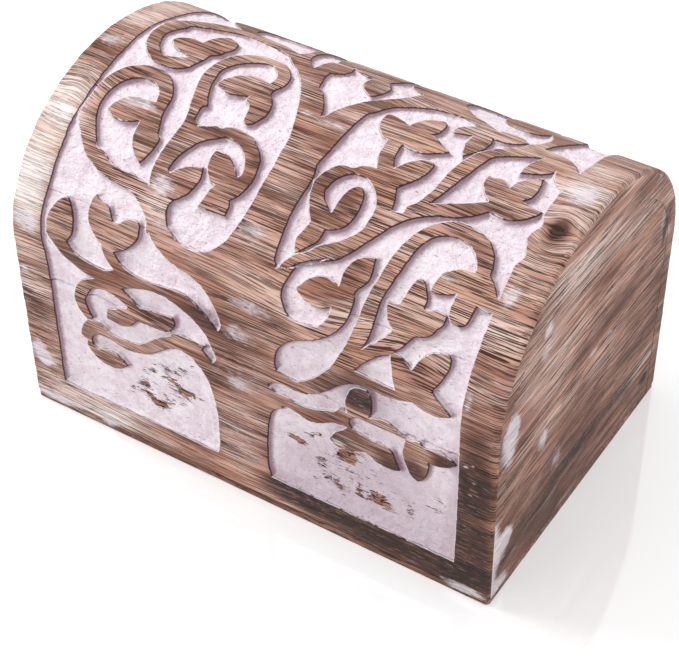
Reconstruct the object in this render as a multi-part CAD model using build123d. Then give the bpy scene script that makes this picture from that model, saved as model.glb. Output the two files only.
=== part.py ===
from build123d import *
import math
import os

# Jewelry box with a domed lid, built from mango wood boards.  Millimetres.
# +X along the length, to the right seen from the front; -Y is the front, +Z is up.
# The origin is the middle of the underside.

# ---- driving dimensions ------------------------------------------------------------
LENGTH = 203.0            # over both end faces
DEPTH = 133.0             # front face to back face
HEIGHT = 135.0            # floor to crown
SPRING_Z = 79.0           # where the vertical sides turn into the dome
SEAM_Z = 66.0             # middle of the gap between lid and body
SEAM_GAP = 0.3            # gap between lid and body all round

PLATE_T = 3.2             # base plate
SIDE_T = 7.0              # front and back boards, and the lid at its rim
CROWN_T = 13.0            # lid at its crown
END_T = 8.0               # end boards of body and lid
EDGE_R = 1.6              # softened outer edges
LINING_T = 1.2            # felt on the floor
LINING_PLAY = 0.4         # between the felt and the walls

# distance round the outside, from the foot of the front face, of each glue joint
STAVE_JOINTS = [105.0, 147.0, 190.0, 236.0]
STAVE_NAMES = [
    "lid_front_stave",
    "lid_front_shoulder_stave",
    "lid_crown_stave",
    "lid_back_shoulder_stave",
    "lid_back_stave",
]

# ---- hinges: two small brass butt hinges let into the back edges ---------------------
HINGE_X = {"left": -60.0, "right": 60.0}
HINGE_L = 24.0
KNUCKLES = 5
KNUCKLE_GAP = 0.15
BARREL_R = 1.9
PIN_R = 0.8
PIN_PLAY = 0.05           # between the pin and the lid's knuckles
LEAF_T = 0.9
LEAF_W = 6.2              # from the back face inwards
LEAF_CORNER_R = 0.8
MORTISE_PLAY = 0.05
BARREL_STANDOFF = 0.2     # between the barrel and the back face
SCREWS_PER_LEAF = 2
SCREW_SPACING = 15.0
SCREW_INSET = 3.4         # screw centre from the back face
SCREW_L = 8.0
SCREW_R = 0.75
SCREW_HEAD_R = 1.5
SCREW_HEAD_T = 0.75
SCREW_SLOT_W = 0.35
SCREW_SLOT_D = 0.3
SCREW_PLAY = 0.03

# ---- worked out ----------------------------------------------------------------------
HALF_L = LENGTH / 2
HALF_D = DEPTH / 2
RISE = HEIGHT - SPRING_Z
INNER_RISE = RISE - CROWN_T
BODY_TOP = SEAM_Z - SEAM_GAP / 2
LID_FOOT = SEAM_Z + SEAM_GAP / 2
INNER_Y = HALF_D - SIDE_T
INNER_X = HALF_L - END_T
PIVOT_Y = HALF_D + BARREL_STANDOFF + BARREL_R
PIVOT_Z = SEAM_Z
ARC_STEPS = 2000          # for measuring distance round the dome
WEDGE_REACH = 3.0         # how far past the outside the stave wedges go, as a multiple


def box_between(low, high):
    """Box from its lowest to its highest corner."""
    size = [b - a for a, b in zip(low, high)]
    return Pos(*low) * Box(*size, align=(Align.MIN, Align.MIN, Align.MIN))


def soften(solid, wanted, radius=EDGE_R):
    """Round the edges that the test picks."""
    edges = solid.edges().filter_by(wanted)
    return fillet(edges, radius)


def upright_corner(y_side, x_sides):
    """Test for the upright corner edges on one long face, at the given ends."""
    def wanted(edge):
        middle = edge @ 0.5
        on_end = any(abs(middle.X - side * HALF_L) < 0.01 for side in x_sides)
        upright = abs((edge % 0.5).Z) > 0.99
        return upright and on_end and abs(middle.Y - y_side * HALF_D) < 0.01
    return wanted


# ---- body ----------------------------------------------------------------------------
def base_plate():
    """Thin plate over the whole footprint, under the four walls."""
    plate = box_between((-HALF_L, -HALF_D, 0), (HALF_L, HALF_D, PLATE_T))
    return fillet(plate.edges().filter_by(Axis.Z), EDGE_R)


def front_board():
    """Front wall, running the full length so that its end grain shows on both ends."""
    board = box_between((-HALF_L, -HALF_D, PLATE_T), (HALF_L, -INNER_Y, BODY_TOP))
    return soften(board, upright_corner(-1, (-1, 1)))


def back_board():
    """Back wall, with a shallow mortise and pilot holes for each hinge."""
    board = box_between((-HALF_L, INNER_Y, PLATE_T), (HALF_L, HALF_D, BODY_TOP))
    board = soften(board, upright_corner(1, (-1, 1)))
    for hinge_x in HINGE_X.values():
        board -= leaf_mortise(hinge_x, BODY_TOP - LEAF_T, BODY_TOP)
        board -= screw_shapes(hinge_x, -1, SCREW_PLAY, False)
    return board


def end_board(side):
    """Body end, held between the front and back boards and flush with their ends."""
    x_out = side * HALF_L
    x_in = side * INNER_X
    low = (min(x_out, x_in), -INNER_Y, PLATE_T)
    high = (max(x_out, x_in), INNER_Y, BODY_TOP)
    return box_between(low, high)


def floor_lining():
    """Felt on the base plate, inside the walls."""
    x = INNER_X - LINING_PLAY
    y = INNER_Y - LINING_PLAY
    return box_between((-x, -y, PLATE_T), (x, y, PLATE_T + LINING_T))


# ---- lid -----------------------------------------------------------------------------
def dome_face(half_depth, rise):
    """Upright section of the lid on the YZ plane: a rectangle with half an ellipse on top."""
    wall = Pos(0, (LID_FOOT + SPRING_Z) / 2) * Rectangle(2 * half_depth, SPRING_Z - LID_FOOT)
    arch = Pos(0, SPRING_Z) * Ellipse(half_depth, rise)
    below = Pos(0, SPRING_Z - HEIGHT / 2) * Rectangle(4 * half_depth, HEIGHT)
    return Plane.YZ * (wall + (arch - below))


def outline_point(distance):
    """Point (y, z) on the outside of the section, so far round from the front foot."""
    walked = SPRING_Z
    last = (-HALF_D, SPRING_Z)
    for i in range(1, ARC_STEPS + 1):
        angle = math.pi * i / ARC_STEPS
        here = (-HALF_D * math.cos(angle), SPRING_Z + RISE * math.sin(angle))
        walked += math.dist(last, here)
        if walked >= distance:
            return here
        last = here
    return last


def stave_wedge(start, end):
    """Solid wedge that the ring is cut with: from the dome's centre out past its outside."""
    corners = [(0.0, SPRING_Z)]
    for y, z in (start, end):
        corners.append((y * WEDGE_REACH, SPRING_Z + (z - SPRING_Z) * WEDGE_REACH))
    wedge = make_face(Polyline(*corners, close=True).edges())
    return extrude(Plane.YZ * wedge, amount=HALF_L + 1, both=True)


def lid_shell():
    outer = extrude(dome_face(HALF_D, RISE), amount=HALF_L, both=True)
    inner = extrude(dome_face(INNER_Y, INNER_RISE), amount=HALF_L + 1, both=True)
    rim = [e for e in outer.edges() if is_end_rim(e)]
    return fillet(rim, EDGE_R) - inner


def is_end_rim(edge):
    """True for the outer edges of the two end faces, apart from the foot."""
    box = edge.bounding_box()
    flat = box.size.X < 0.01
    return flat and box.max.Z > LID_FOOT + 0.01


def lid_staves():
    """The lid's boards, cut from one shell along lines that meet at the dome's centre."""
    shell = lid_shell()
    points = [outline_point(joint) for joint in STAVE_JOINTS]
    front_end = (-HALF_D, LID_FOOT)
    back_end = (HALF_D, LID_FOOT)
    bounds = [front_end] + points + [back_end]
    staves = {}
    for name, start, end in zip(STAVE_NAMES, bounds, bounds[1:]):
        wedge = stave_wedge(start, end)
        if start == front_end or end == back_end:
            wedge += lid_foot_block(-1 if start == front_end else 1)
        staves[name] = shell & wedge
    return staves


def lid_foot_block(side):
    """The upright part of the lid on one long side, which belongs to the lowest stave."""
    y_out = side * (HALF_D + 1)
    y_in = side * (INNER_Y - 1)
    low = (-HALF_L - 1, min(y_out, y_in), LID_FOOT - 1)
    high = (HALF_L + 1, max(y_out, y_in), SPRING_Z)
    return box_between(low, high)


def lid_back_stave(stave):
    """Add the hinge mortises and pilot holes to the lowest stave at the back."""
    for hinge_x in HINGE_X.values():
        stave -= leaf_mortise(hinge_x, LID_FOOT, LID_FOOT + LEAF_T)
        stave -= screw_shapes(hinge_x, 1, SCREW_PLAY, False)
    return stave


def lid_end(side):
    """Arched board that closes one end of the lid, flush with the staves' ends."""
    thick = extrude(dome_face(INNER_Y, INNER_RISE), amount=HALF_L, both=True)
    x_out = side * HALF_L
    x_in = side * INNER_X
    low = (min(x_out, x_in), -HALF_D, 0)
    high = (max(x_out, x_in), HALF_D, HEIGHT)
    return thick & box_between(low, high)


# ---- hinges --------------------------------------------------------------------------
def leaf_mortise(hinge_x, z_low, z_high):
    """Pocket for one leaf, open to the back and to the seam."""
    half = HINGE_L / 2 + MORTISE_PLAY
    deep = LEAF_W + MORTISE_PLAY
    low = (hinge_x - half, HALF_D - deep, min(z_low, z_high))
    high = (hinge_x + half, HALF_D + 1, max(z_low, z_high))
    return box_between(low, high)


def x_cylinder(radius, x_low, x_high):
    """Cylinder on the hinge axis between two places along it."""
    middle = (x_low + x_high) / 2
    return Pos(middle, PIVOT_Y, PIVOT_Z) * Rot(0, 90, 0) * Cylinder(radius, x_high - x_low)


def knuckle_spans(hinge_x, first):
    """Every second knuckle along the barrel, starting with the given one."""
    pitch = HINGE_L / KNUCKLES
    start = hinge_x - HINGE_L / 2
    spans = []
    for i in range(first, KNUCKLES, 2):
        spans.append((start + i * pitch + KNUCKLE_GAP / 2, start + (i + 1) * pitch - KNUCKLE_GAP / 2))
    return spans


def hinge_leaf(hinge_x, updown):
    """One leaf: a let-in plate with two countersunk holes, and its share of the barrel."""
    z_face = SEAM_Z + updown * SEAM_GAP / 2
    z_back = z_face + updown * LEAF_T
    low = (hinge_x - HINGE_L / 2, HALF_D - LEAF_W, min(z_face, z_back))
    high = (hinge_x + HINGE_L / 2, HALF_D, max(z_face, z_back))
    plate = box_between(low, high)
    inner_corners = [e for e in plate.edges().filter_by(Axis.Z) if (e @ 0.5).Y < HALF_D - 1]
    leaf = fillet(inner_corners, LEAF_CORNER_R)
    first = 0 if updown < 0 else 1
    bore = PIN_R if updown < 0 else PIN_R + PIN_PLAY
    for x_low, x_high in knuckle_spans(hinge_x, first):
        web_low = (x_low, HALF_D - 0.1, min(z_face, z_back))
        web_high = (x_high, PIVOT_Y, max(z_face, z_back))
        leaf += box_between(web_low, web_high)
        leaf += x_cylinder(BARREL_R, x_low, x_high)
    leaf -= x_cylinder(bore, hinge_x - HINGE_L, hinge_x + HINGE_L)
    return leaf - screw_shapes(hinge_x, updown, SCREW_PLAY, False)


def hinge_pin(hinge_x):
    return x_cylinder(PIN_R, hinge_x - HINGE_L / 2, hinge_x + HINGE_L / 2)


def screw(play, slotted):
    """Countersunk slotted screw, head up at z = 0 and shank pointing down."""
    head = Pos(0, 0, -SCREW_HEAD_T / 2)
    shape = head * Cone(SCREW_R + play, SCREW_HEAD_R + play, SCREW_HEAD_T)
    shape += Pos(0, 0, -SCREW_L / 2) * Cylinder(SCREW_R + play, SCREW_L)
    if slotted:
        slot = Box(4 * SCREW_HEAD_R, SCREW_SLOT_W, 2 * SCREW_SLOT_D)
        shape -= slot
    return shape


def screw_shapes(hinge_x, updown, play, slotted):
    """Screw solids of one leaf, driven down into the body (-1) or up into the lid (+1)."""
    z_face = SEAM_Z + updown * SEAM_GAP / 2
    flip = 0 if updown < 0 else 180
    shapes = []
    for i in range(SCREWS_PER_LEAF):
        x = hinge_x + (i / (SCREWS_PER_LEAF - 1) - 0.5) * SCREW_SPACING
        place = Pos(x, HALF_D - SCREW_INSET, z_face) * Rot(flip, 0, 0)
        shapes.append(place * screw(play, slotted))
    return shapes


def screw_set(hinge_x, updown):
    """The screws of one leaf as one group of separate solids."""
    return Compound(children=[shape.solid() for shape in screw_shapes(hinge_x, updown, 0.0, True)])


# ---- assembly ------------------------------------------------------------------------
def all_parts():
    parts = {
        "base_plate": base_plate(),
        "front_board": front_board(),
        "back_board": back_board(),
        "left_end_board": end_board(-1),
        "right_end_board": end_board(1),
        "floor_lining": floor_lining(),
        "lid_left_end": lid_end(-1),
        "lid_right_end": lid_end(1),
    }
    parts.update(lid_staves())
    parts["lid_back_stave"] = lid_back_stave(parts["lid_back_stave"])
    for side, hinge_x in HINGE_X.items():
        parts[side + "_hinge_body_leaf"] = hinge_leaf(hinge_x, -1)
        parts[side + "_hinge_lid_leaf"] = hinge_leaf(hinge_x, 1)
        parts[side + "_hinge_pin"] = hinge_pin(hinge_x)
        parts[side + "_hinge_body_screws"] = screw_set(hinge_x, -1)
        parts[side + "_hinge_lid_screws"] = screw_set(hinge_x, 1)
    return parts


os.makedirs("parts", exist_ok=True)
for node, shape in all_parts().items():
    export_step(shape, "parts/" + node + ".step")
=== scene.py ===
"""Jewelry box: a domed mango wood chest, limed on the wood, carved, and limewashed pink in the cuts.

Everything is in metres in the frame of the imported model.  The sizes of the carving are in millimetres,
measured from the left end (across) and round the outside from the foot of the front face (round).
"""
import math

import bpy
import bmesh
import numpy as np
from mathutils import Matrix, Vector


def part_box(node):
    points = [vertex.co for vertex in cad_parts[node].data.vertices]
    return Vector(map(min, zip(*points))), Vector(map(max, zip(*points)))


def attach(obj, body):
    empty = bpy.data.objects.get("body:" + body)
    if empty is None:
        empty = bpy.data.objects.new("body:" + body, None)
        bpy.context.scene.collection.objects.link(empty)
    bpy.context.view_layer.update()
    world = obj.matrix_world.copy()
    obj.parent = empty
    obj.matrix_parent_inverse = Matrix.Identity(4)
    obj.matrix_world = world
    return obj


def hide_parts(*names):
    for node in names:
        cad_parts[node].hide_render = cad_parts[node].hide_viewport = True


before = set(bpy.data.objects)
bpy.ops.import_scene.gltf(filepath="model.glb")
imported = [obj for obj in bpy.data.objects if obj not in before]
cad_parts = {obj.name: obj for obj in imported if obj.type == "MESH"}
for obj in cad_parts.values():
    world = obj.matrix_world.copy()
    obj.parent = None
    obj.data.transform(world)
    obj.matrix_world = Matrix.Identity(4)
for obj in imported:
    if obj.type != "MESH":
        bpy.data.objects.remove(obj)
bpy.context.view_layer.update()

bl_info = {
    "name": "Carved jewelry box",
    "version": (1, 0, 0),
    "blender": (4, 5, 0),
    "location": "3D View > Sidebar > Jewelry Box",
    "description": "Builds the carved boards, lining, brass finish and studio of a domed jewelry box",
    "category": "Add Mesh",
}

MM = 0.001

# ---- the box, read from the frame ------------------------------------------------------
PLATE_LOW, PLATE_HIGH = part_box("base_plate")
FRONT_LOW, FRONT_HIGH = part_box("front_board")
LID_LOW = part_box("lid_front_stave")[0]
INSIDE_LOW, INSIDE_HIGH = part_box("lid_right_end")
END_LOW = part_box("right_end_board")[0]

HALF_LENGTH = PLATE_HIGH[0] / MM
HALF_DEPTH = PLATE_HIGH[1] / MM
HEIGHT = 135.0
PLATE_TOP = PLATE_HIGH[2] / MM
BODY_TOP = FRONT_HIGH[2] / MM
LID_FOOT = LID_LOW[2] / MM
INNER_Y = -FRONT_HIGH[1] / MM
INNER_X = END_LOW[0] / MM
SPRING = 79.0                                   # where the upright sides turn into the dome
RISE = HEIGHT - SPRING
INNER_RISE = INSIDE_HIGH[2] / MM - SPRING


def dome_table(half_depth, rise, steps=4000):
    """Angle against distance along half an ellipse, for walking round the dome by distance."""
    angle = np.linspace(0.0, math.pi, steps)
    y = -half_depth * np.cos(angle)
    z = rise * np.sin(angle)
    walked = np.concatenate([[0.0], np.cumsum(np.hypot(np.diff(y), np.diff(z)))])
    return angle, walked


DOME_ANGLE, DOME_WALKED = dome_table(HALF_DEPTH, RISE)
DOME_LENGTH = DOME_WALKED[-1]
GIRTH = 2 * SPRING + DOME_LENGTH                # front foot, over the crown, to the back foot
STAVE_JOINTS = [LID_FOOT, 105.0, 147.0, 190.0, 236.0, GIRTH - LID_FOOT]
STAVES = [
    "lid_front_stave",
    "lid_front_shoulder_stave",
    "lid_crown_stave",
    "lid_back_shoulder_stave",
    "lid_back_stave",
]

# ---- the carving -----------------------------------------------------------------------
# Closed outlines of (across, round) in millimetres.  A third number, 1, makes a sharp corner, and
# the line is smooth through every other point.  "cut" is painted ground, "keep" is wood left standing.
# They are worked in order, so a later one wins.
CARVING = [
    ("cut", "left panel", [
        (15.4, 15.2, 1), (87.8, 15.2, 1), (88.7, 20), (89, 28), (88.6, 37), (87.6, 44), (85.8, 50),
        (82.8, 55), (81, 61), (88.3, 60.8, 1), (89.8, 63.5), (88.8, 67), (87, 71.2), (90, 75),
        (92.8, 79.5), (92.5, 82.5), (91, 85.5), (89, 88.5), (86, 91.5), (82.5, 94), (78.5, 95.3),
        (74, 96), (69, 97.5), (64, 100), (60, 103), (57.5, 106.5), (55.5, 109.5), (52.5, 112.3),
        (48.5, 114.8), (44.5, 115.8), (40, 116.2), (35, 117), (31, 118.2), (27.5, 120), (24, 122.3),
        (20.5, 126), (17.5, 130), (14.8, 134, 1), (14.2, 128), (14.2, 118), (14.3, 106), (13.4, 96),
        (13.4, 90), (14, 84), (15.1, 77), (15.6, 65), (15.5, 40)]),
    ("keep", "low branch with a hooked leaf", [
        (95, 63, 1), (88.3, 60.8, 1), (84, 64.3, 1), (84.6, 66.4), (80, 67), (75, 67.3), (70.8, 66.7, 1),
        (69.8, 64.7), (66, 62.4), (62, 59.3), (58.5, 56), (55, 53.6), (50, 52.4), (45, 52.2),
        (41.5, 52.4), (39.5, 53.8), (36, 55.2), (31.5, 54.6, 1), (29.4, 51.8), (28, 49.2), (27.3, 46.5),
        (27.9, 44.8), (29.8, 43.6), (29.6, 41.2), (30.6, 39.3), (33, 37), (36, 35.3), (40, 34.8),
        (43.2, 35.5), (46, 37), (48.4, 39.3, 1), (45.5, 41.6), (43, 42.8), (40, 43.1), (37.5, 42.5),
        (35, 41.4), (33.3, 42.2), (32.4, 43.5), (32.5, 45.3), (33.3, 47.2), (35, 48.6), (38, 49.2),
        (42, 49), (46, 48.2), (51, 47.8), (56, 49), (60.5, 51.2), (64, 54.2), (68, 57.2), (71.5, 59),
        (75, 59.6), (79, 58.2), (82.8, 55), (95, 50, 1)]),
    ("keep", "middle branch with a heart leaf and a ring", [
        (49.3, 77.2, 1), (52, 78.9), (55.5, 80.5), (60, 81.9), (65, 82.5), (70, 82.1), (75, 80.6),
        (80, 78), (84, 75), (86.8, 71.3), (88.6, 66.5), (90.2, 63.7, 1), (96, 62, 1), (96, 78, 1),
        (91.2, 77.6, 1), (89, 79.8), (85, 83.2), (80.5, 86), (77, 87.2), (72, 87.1), (66, 86.4),
        (60, 86), (55, 86.3), (51, 87.6), (48.3, 89.8), (46.2, 91.9, 1), (49, 93.4), (52, 95.5),
        (54.3, 98.5), (55.4, 101.5), (55.2, 104.8), (53.8, 106.3), (51, 106.3), (48.5, 105.2),
        (46.8, 103.3), (45, 102.6), (43.4, 103.6), (42, 105.8), (40.8, 107.5), (38, 108.2),
        (35.8, 109), (34.6, 109.8), (33.6, 108), (33, 104.5), (33.4, 101), (34.8, 98), (37.3, 95.2),
        (40.5, 93, 1), (41.5, 90.5), (43.5, 87.3), (46.3, 84.8, 1), (43.5, 83.3), (41, 82.9),
        (37, 83.1), (32.5, 83.7), (28.5, 85.3), (25.2, 88.2, 1), (26.8, 91), (27.6, 94.5), (26.9, 99),
        (25.3, 102.7), (23.2, 104.9), (21, 103.8), (18.5, 101), (16.5, 97.2), (15.7, 93.5), (15.8, 90),
        (16.4, 88.2), (19, 85.5), (23, 81.9), (27.5, 79.5), (32, 77.8), (37, 76.7, 1), (33, 74.6),
        (30, 72.3), (27.8, 69), (26.5, 65), (26.6, 61.3), (28, 57.8), (30.8, 55, 1), (34, 56.2),
        (33, 58), (31.8, 61), (31.3, 63.8), (32.8, 67), (34.8, 70.3), (37, 71.9), (40.5, 73),
        (44, 72.8), (48, 71.6), (51.3, 69.7, 1), (50, 68.4), (47, 67), (44.3, 65.3), (41.9, 64.8),
        (41.1, 62), (40.9, 59.6), (43.5, 59.1), (47.5, 58.9), (51, 60.1), (53.7, 63), (55.7, 64.9),
        (60, 64.9), (66, 65.2), (69, 66), (71, 68), (72.4, 70.3), (72.3, 72.3), (71, 73.9), (66, 73.4),
        (61, 72.8), (57.4, 71.8, 1), (54.5, 73.9), (52, 75.6)]),
    ("cut", "left scrolls", [
        (13.9, 126), (13.8, 140), (13.7, 155), (13.5, 168), (12.9, 175), (13.2, 185), (13.9, 192, 1),
        (18, 195), (24, 193.2, 1), (26.5, 194.3), (30, 196.3), (34, 198.2), (38.5, 200.2), (42, 201.2),
        (46, 201.7), (50, 201.2), (54, 200.2), (58, 199.2), (61.5, 198), (64.5, 196.8), (67, 194.5),
        (70.5, 191), (74, 188), (77.5, 184.5), (80.5, 180.5), (83, 176.5), (85.5, 172), (88, 167),
        (90, 162.5), (91.5, 158), (92.8, 153), (93.4, 147), (93.8, 141), (93.6, 135), (93.3, 128),
        (92.5, 122), (91.2, 117), (89.5, 112.5), (86.5, 108.5), (83, 105.8), (79, 104.5), (75, 104.5),
        (71.5, 105.1, 1), (60, 112), (40, 119), (20, 128)]),
    ("keep", "ring with two leaves", [
        (62, 101.5, 1), (60, 103), (57.5, 106.5), (55.5, 109.5), (52.5, 112.3), (48.5, 114.8),
        (44.5, 115.8), (40, 116.2), (35, 117), (31, 118.2), (27.5, 120), (24, 122.3), (20.5, 126),
        (17.5, 130), (15, 133.6), (14.6, 138), (14.8, 143), (15.4, 149), (17, 154), (19.5, 158),
        (23, 161), (27, 162.6), (31.5, 163), (35, 162.5), (38.5, 160.8), (41.5, 157.5), (43.8, 154),
        (44.6, 150.5), (44.9, 147), (45.2, 144.5), (46.5, 141.5), (47.8, 138), (49.3, 136),
        (49.2, 133), (48.3, 130), (47, 127), (46.3, 125.8, 1), (43.5, 127.3), (41, 130), (39.3, 133),
        (38.7, 136.5), (38.5, 139.8, 1), (35, 138.5), (31.5, 137.6), (27.5, 138), (24, 140, 1),
        (25.3, 143.5), (27.8, 146.5), (31, 148.2), (35, 148.6), (39.6, 149, 1), (38.5, 152.5),
        (36.5, 155), (33.5, 156.5), (30, 156.6), (26.5, 155.6), (23.5, 153), (21.5, 149.5),
        (20.4, 145.5), (20.4, 141), (21.5, 136.5), (23.5, 132.5), (25.8, 129), (28, 126), (31, 124.8),
        (34.5, 123), (37.5, 121.9), (41, 121.3), (46, 121.3), (50, 120.5), (53.6, 119.8, 1),
        (62, 118, 1)]),
    ("keep", "stem with two scrolls", [
        (53.8, 119.6, 1), (52.5, 122.5), (52.1, 127), (52.3, 132), (53, 137), (53.7, 142),
        (53.6, 147), (52.5, 151), (50.8, 155.5), (49.2, 160), (47.9, 164.5), (47.2, 169), (47.3, 173),
        (47.8, 177), (49.2, 181), (51.5, 184.8), (54.5, 187.5), (58, 189.2), (62, 189.8), (66, 189.6),
        (69.8, 188.5), (73, 185.5), (75.2, 182.5), (76.4, 179), (76.5, 175.5), (75, 173), (75.1, 170),
        (77, 168), (78.8, 165), (79.7, 161.5), (79.2, 158), (77.8, 155.2), (76, 153.7), (74, 154.2),
        (73.2, 156), (72.6, 159), (71.3, 161.7), (69.2, 163.2), (69, 165.3, 1), (67, 165),
        (65, 164), (61.5, 163.3), (58, 164.2), (55, 165.5, 1), (55.3, 168), (57, 171), (59.5, 173.8),
        (62.5, 175.4), (66, 175.8), (71.4, 175.2, 1), (71.2, 179), (69.5, 182), (67, 184.5),
        (64.5, 185.6), (61, 184.5), (57.5, 182), (54.8, 179), (53, 176), (52.2, 173), (52.3, 169.5),
        (53.3, 165), (54.8, 161), (56.5, 157.5), (58, 155, 1), (56.5, 154.4, 1), (56.3, 152),
        (57, 148.5), (58, 147.2), (59.7, 146.2, 1), (63.5, 147.6), (66, 148.8), (68.5, 148.7),
        (70, 150), (73, 150.7), (76, 150.8), (79, 150), (82, 148.8), (84.5, 146.8), (86.8, 144.8),
        (88.5, 142), (89.4, 138.5), (89.8, 135), (89.3, 131.5), (88, 128.5), (86.8, 126.8),
        (85.2, 125.3, 1), (86, 123), (85.8, 119.6, 1), (80, 119.4), (74.6, 119.3, 1), (75.3, 122),
        (76.3, 126), (77.3, 128.2, 1), (75, 128.7), (73, 130.8), (71.3, 133.5), (70.8, 136.5),
        (71.2, 139.8), (73, 140.3), (76.5, 139.8), (79, 138.3), (81.5, 136.2), (84, 133.8, 1),
        (84.8, 135.5), (84, 138.5), (82, 141.8), (79, 144.2), (75.5, 145.6), (72, 145.8), (69, 144.3),
        (65.5, 141.8), (62.5, 138.5), (60.3, 135), (58.8, 131.5), (58.3, 127.5), (59.3, 126.5, 1),
        (61, 128.5), (64.5, 130.8), (68, 132), (70.2, 132.5, 1), (71, 130.5), (71.3, 127.5),
        (70.4, 124.5), (69, 121.5), (67, 119.8), (65, 118.2, 1), (63.6, 115.5), (63.9, 112.5),
        (65.2, 109.8), (67.2, 107.3), (70, 105.6), (71.5, 104.6, 1), (58, 104, 1)]),
    ("keep", "ring with a three-lobed leaf", [
        (15.5, 193.5, 1), (15.1, 186), (15.5, 180), (17, 175), (19.5, 171), (23.5, 167.5),
        (27.5, 165.6), (31.5, 165), (35.5, 165.5), (38.5, 166.8), (40.4, 168.4, 1), (41.5, 171.2),
        (42.7, 174.5), (43, 177.8), (44.2, 179), (45.8, 180.8), (46.4, 183.5), (47.6, 186.3),
        (47, 189.9), (45.2, 192.6), (43, 193.6), (41, 194.3), (38.7, 192.8), (37, 190), (36, 187),
        (35.6, 184.2, 1), (32, 184.7), (29, 184), (26.5, 182.3), (24.8, 180, 1), (27.5, 177),
        (31, 175.2), (34, 174.5), (36.8, 173.3, 1), (33, 171.3), (30, 170.3), (28.3, 170), (26, 171.5),
        (23.5, 174.2), (21.7, 177.5), (21, 181), (21.3, 184.3), (22.4, 187.3), (24, 190, 1),
        (24.4, 193.6, 1), (20, 197, 1)]),
    ("cut", "top left", [
        (14, 187, 1), (14.6, 196), (15, 205), (15.2, 217), (15.4, 226, 1), (27.5, 226, 1), (28.5, 216),
        (31, 212), (34, 208.8), (37.8, 206.4, 1), (33, 205), (29, 203.2), (25, 200.5), (21, 197),
        (18, 194.3), (15.6, 192), (15.2, 187, 1)]),
    ("cut", "crown left", [
        (41, 226, 1), (41.5, 212), (44, 208.5), (48, 207), (54, 206.6), (60, 205), (66, 202.2, 1),
        (67, 207), (66.5, 213), (66, 226, 1)]),
    ("cut", "crown beside the left leaf", [
        (77.2, 194.8, 1), (74.5, 197), (72.5, 200), (71, 203.5), (70.3, 207), (69.8, 212),
        (70, 226, 1), (77, 226, 1), (77.8, 213), (79.4, 208), (77.9, 204.5), (77.2, 201), (77.3, 198)]),
    ("cut", "fork", [
        (97.2, 168.5, 1), (95.8, 171.5), (94, 175), (91.5, 178.5), (89, 181.7), (87.2, 182.7),
        (86.2, 186), (84.8, 190), (84, 194.5, 1), (87, 197), (88.4, 200.5), (88, 204), (86.3, 208.5, 1),
        (88.5, 206.3), (91.5, 204.4), (95.5, 203.4), (102, 204.8), (104, 208), (104.5, 213),
        (104.5, 226, 1), (108, 226, 1), (108.2, 215), (109.2, 211.5), (111, 208.5), (113.5, 206.6),
        (116.6, 205.6, 1), (116, 202), (115, 198), (113, 194), (110.5, 190.5), (108, 187.5),
        (105.5, 184), (103, 180), (101, 176.5), (99.5, 173), (98.4, 169.3, 1)]),
    ("keep", "leaf in the fork", [
        (97, 204.5, 1), (96.8, 201), (97, 197), (98.5, 193.5), (101, 190.8), (103.5, 189),
        (105.3, 188.6, 1), (106.5, 191.5), (107.3, 195), (107, 198.5), (105.5, 201.5),
        (103.3, 205.2, 1)]),
    ("cut", "right panel", [
        (111.8, 15.3, 1), (188.3, 15.3, 1), (188.5, 30), (188.6, 50), (188.5, 66), (188.4, 85),
        (188.6, 105), (188.7, 122), (188.5, 133), (188.3, 140), (189.8, 144), (188.4, 148),
        (187.2, 152), (189, 157), (187.7, 161.5, 1), (180, 158), (171, 156), (168, 152),
        (164, 149.5), (161.5, 148.2), (157, 147), (153, 145), (149, 142.6), (146, 139.8), (143, 136),
        (140, 131.5), (137, 127), (134, 123), (131, 120.3), (127, 118), (123, 116.3), (119.5, 114.6),
        (117.5, 111.5), (116.2, 108), (115.2, 104), (115.8, 101), (117.5, 98), (120.5, 95.6),
        (124, 95), (127.5, 95.6), (131, 96, 1), (132, 93.5), (131, 91), (127, 89.3), (123, 87.3),
        (120, 85), (117.5, 82), (115.8, 78), (115.4, 74), (116, 70.6, 1), (112, 62, 1), (118, 54.2),
        (115.5, 52), (113.2, 49), (111.8, 44), (111, 37), (110.5, 28), (110.8, 20)]),
    ("keep", "low right branch with leaves", [
        (106, 52, 1), (118, 54.6), (124, 54.2), (129, 53), (133, 54), (136.5, 56), (139, 57.4),
        (142, 57.9), (144.6, 58.2, 1), (143.3, 56.4), (140, 53.8), (138.3, 51), (137.5, 48.7),
        (139, 47.2), (142, 46.7), (146, 47.3), (149, 48.8), (151.8, 50, 1), (153.3, 49.3),
        (156.5, 47.7), (160, 47), (163.5, 47.2), (165.9, 48.3, 1), (164.8, 51), (163.5, 54),
        (162.2, 56.3), (159.5, 57.1), (155, 57), (150, 57.9), (146.6, 58.7, 1), (145.5, 61),
        (146.3, 63), (148.5, 64.8), (153, 64.9), (158, 64.8), (163, 64.5), (167.7, 64.3, 1),
        (167.2, 61), (166.8, 57.5), (167.7, 54), (169.2, 50.5), (170.8, 48.2), (172.9, 47, 1),
        (175, 48.8), (176.5, 52), (177.2, 56), (177, 58.4, 1), (180, 58.5), (184, 59.9),
        (188, 62.8, 1), (186.3, 64.2), (183.5, 65.2), (181, 65.5), (178, 65.1), (175.2, 64.7),
        (173, 65.9), (170, 65.4), (167, 66.2), (164, 67.6), (161, 68.9), (158, 68.8), (155.5, 68.1),
        (153.5, 67.3, 1), (154.4, 70.5), (154.6, 74), (154.2, 77), (152.6, 79.7, 1), (150.5, 79.6),
        (148, 78.8), (146, 77), (144.8, 74.3), (144, 71), (143.8, 68.5), (144.6, 65.2, 1), (143, 65.9),
        (141.8, 66), (140.6, 64.7), (139, 62.9), (135.5, 61.8), (131, 60), (126, 59), (120, 59.8),
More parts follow.
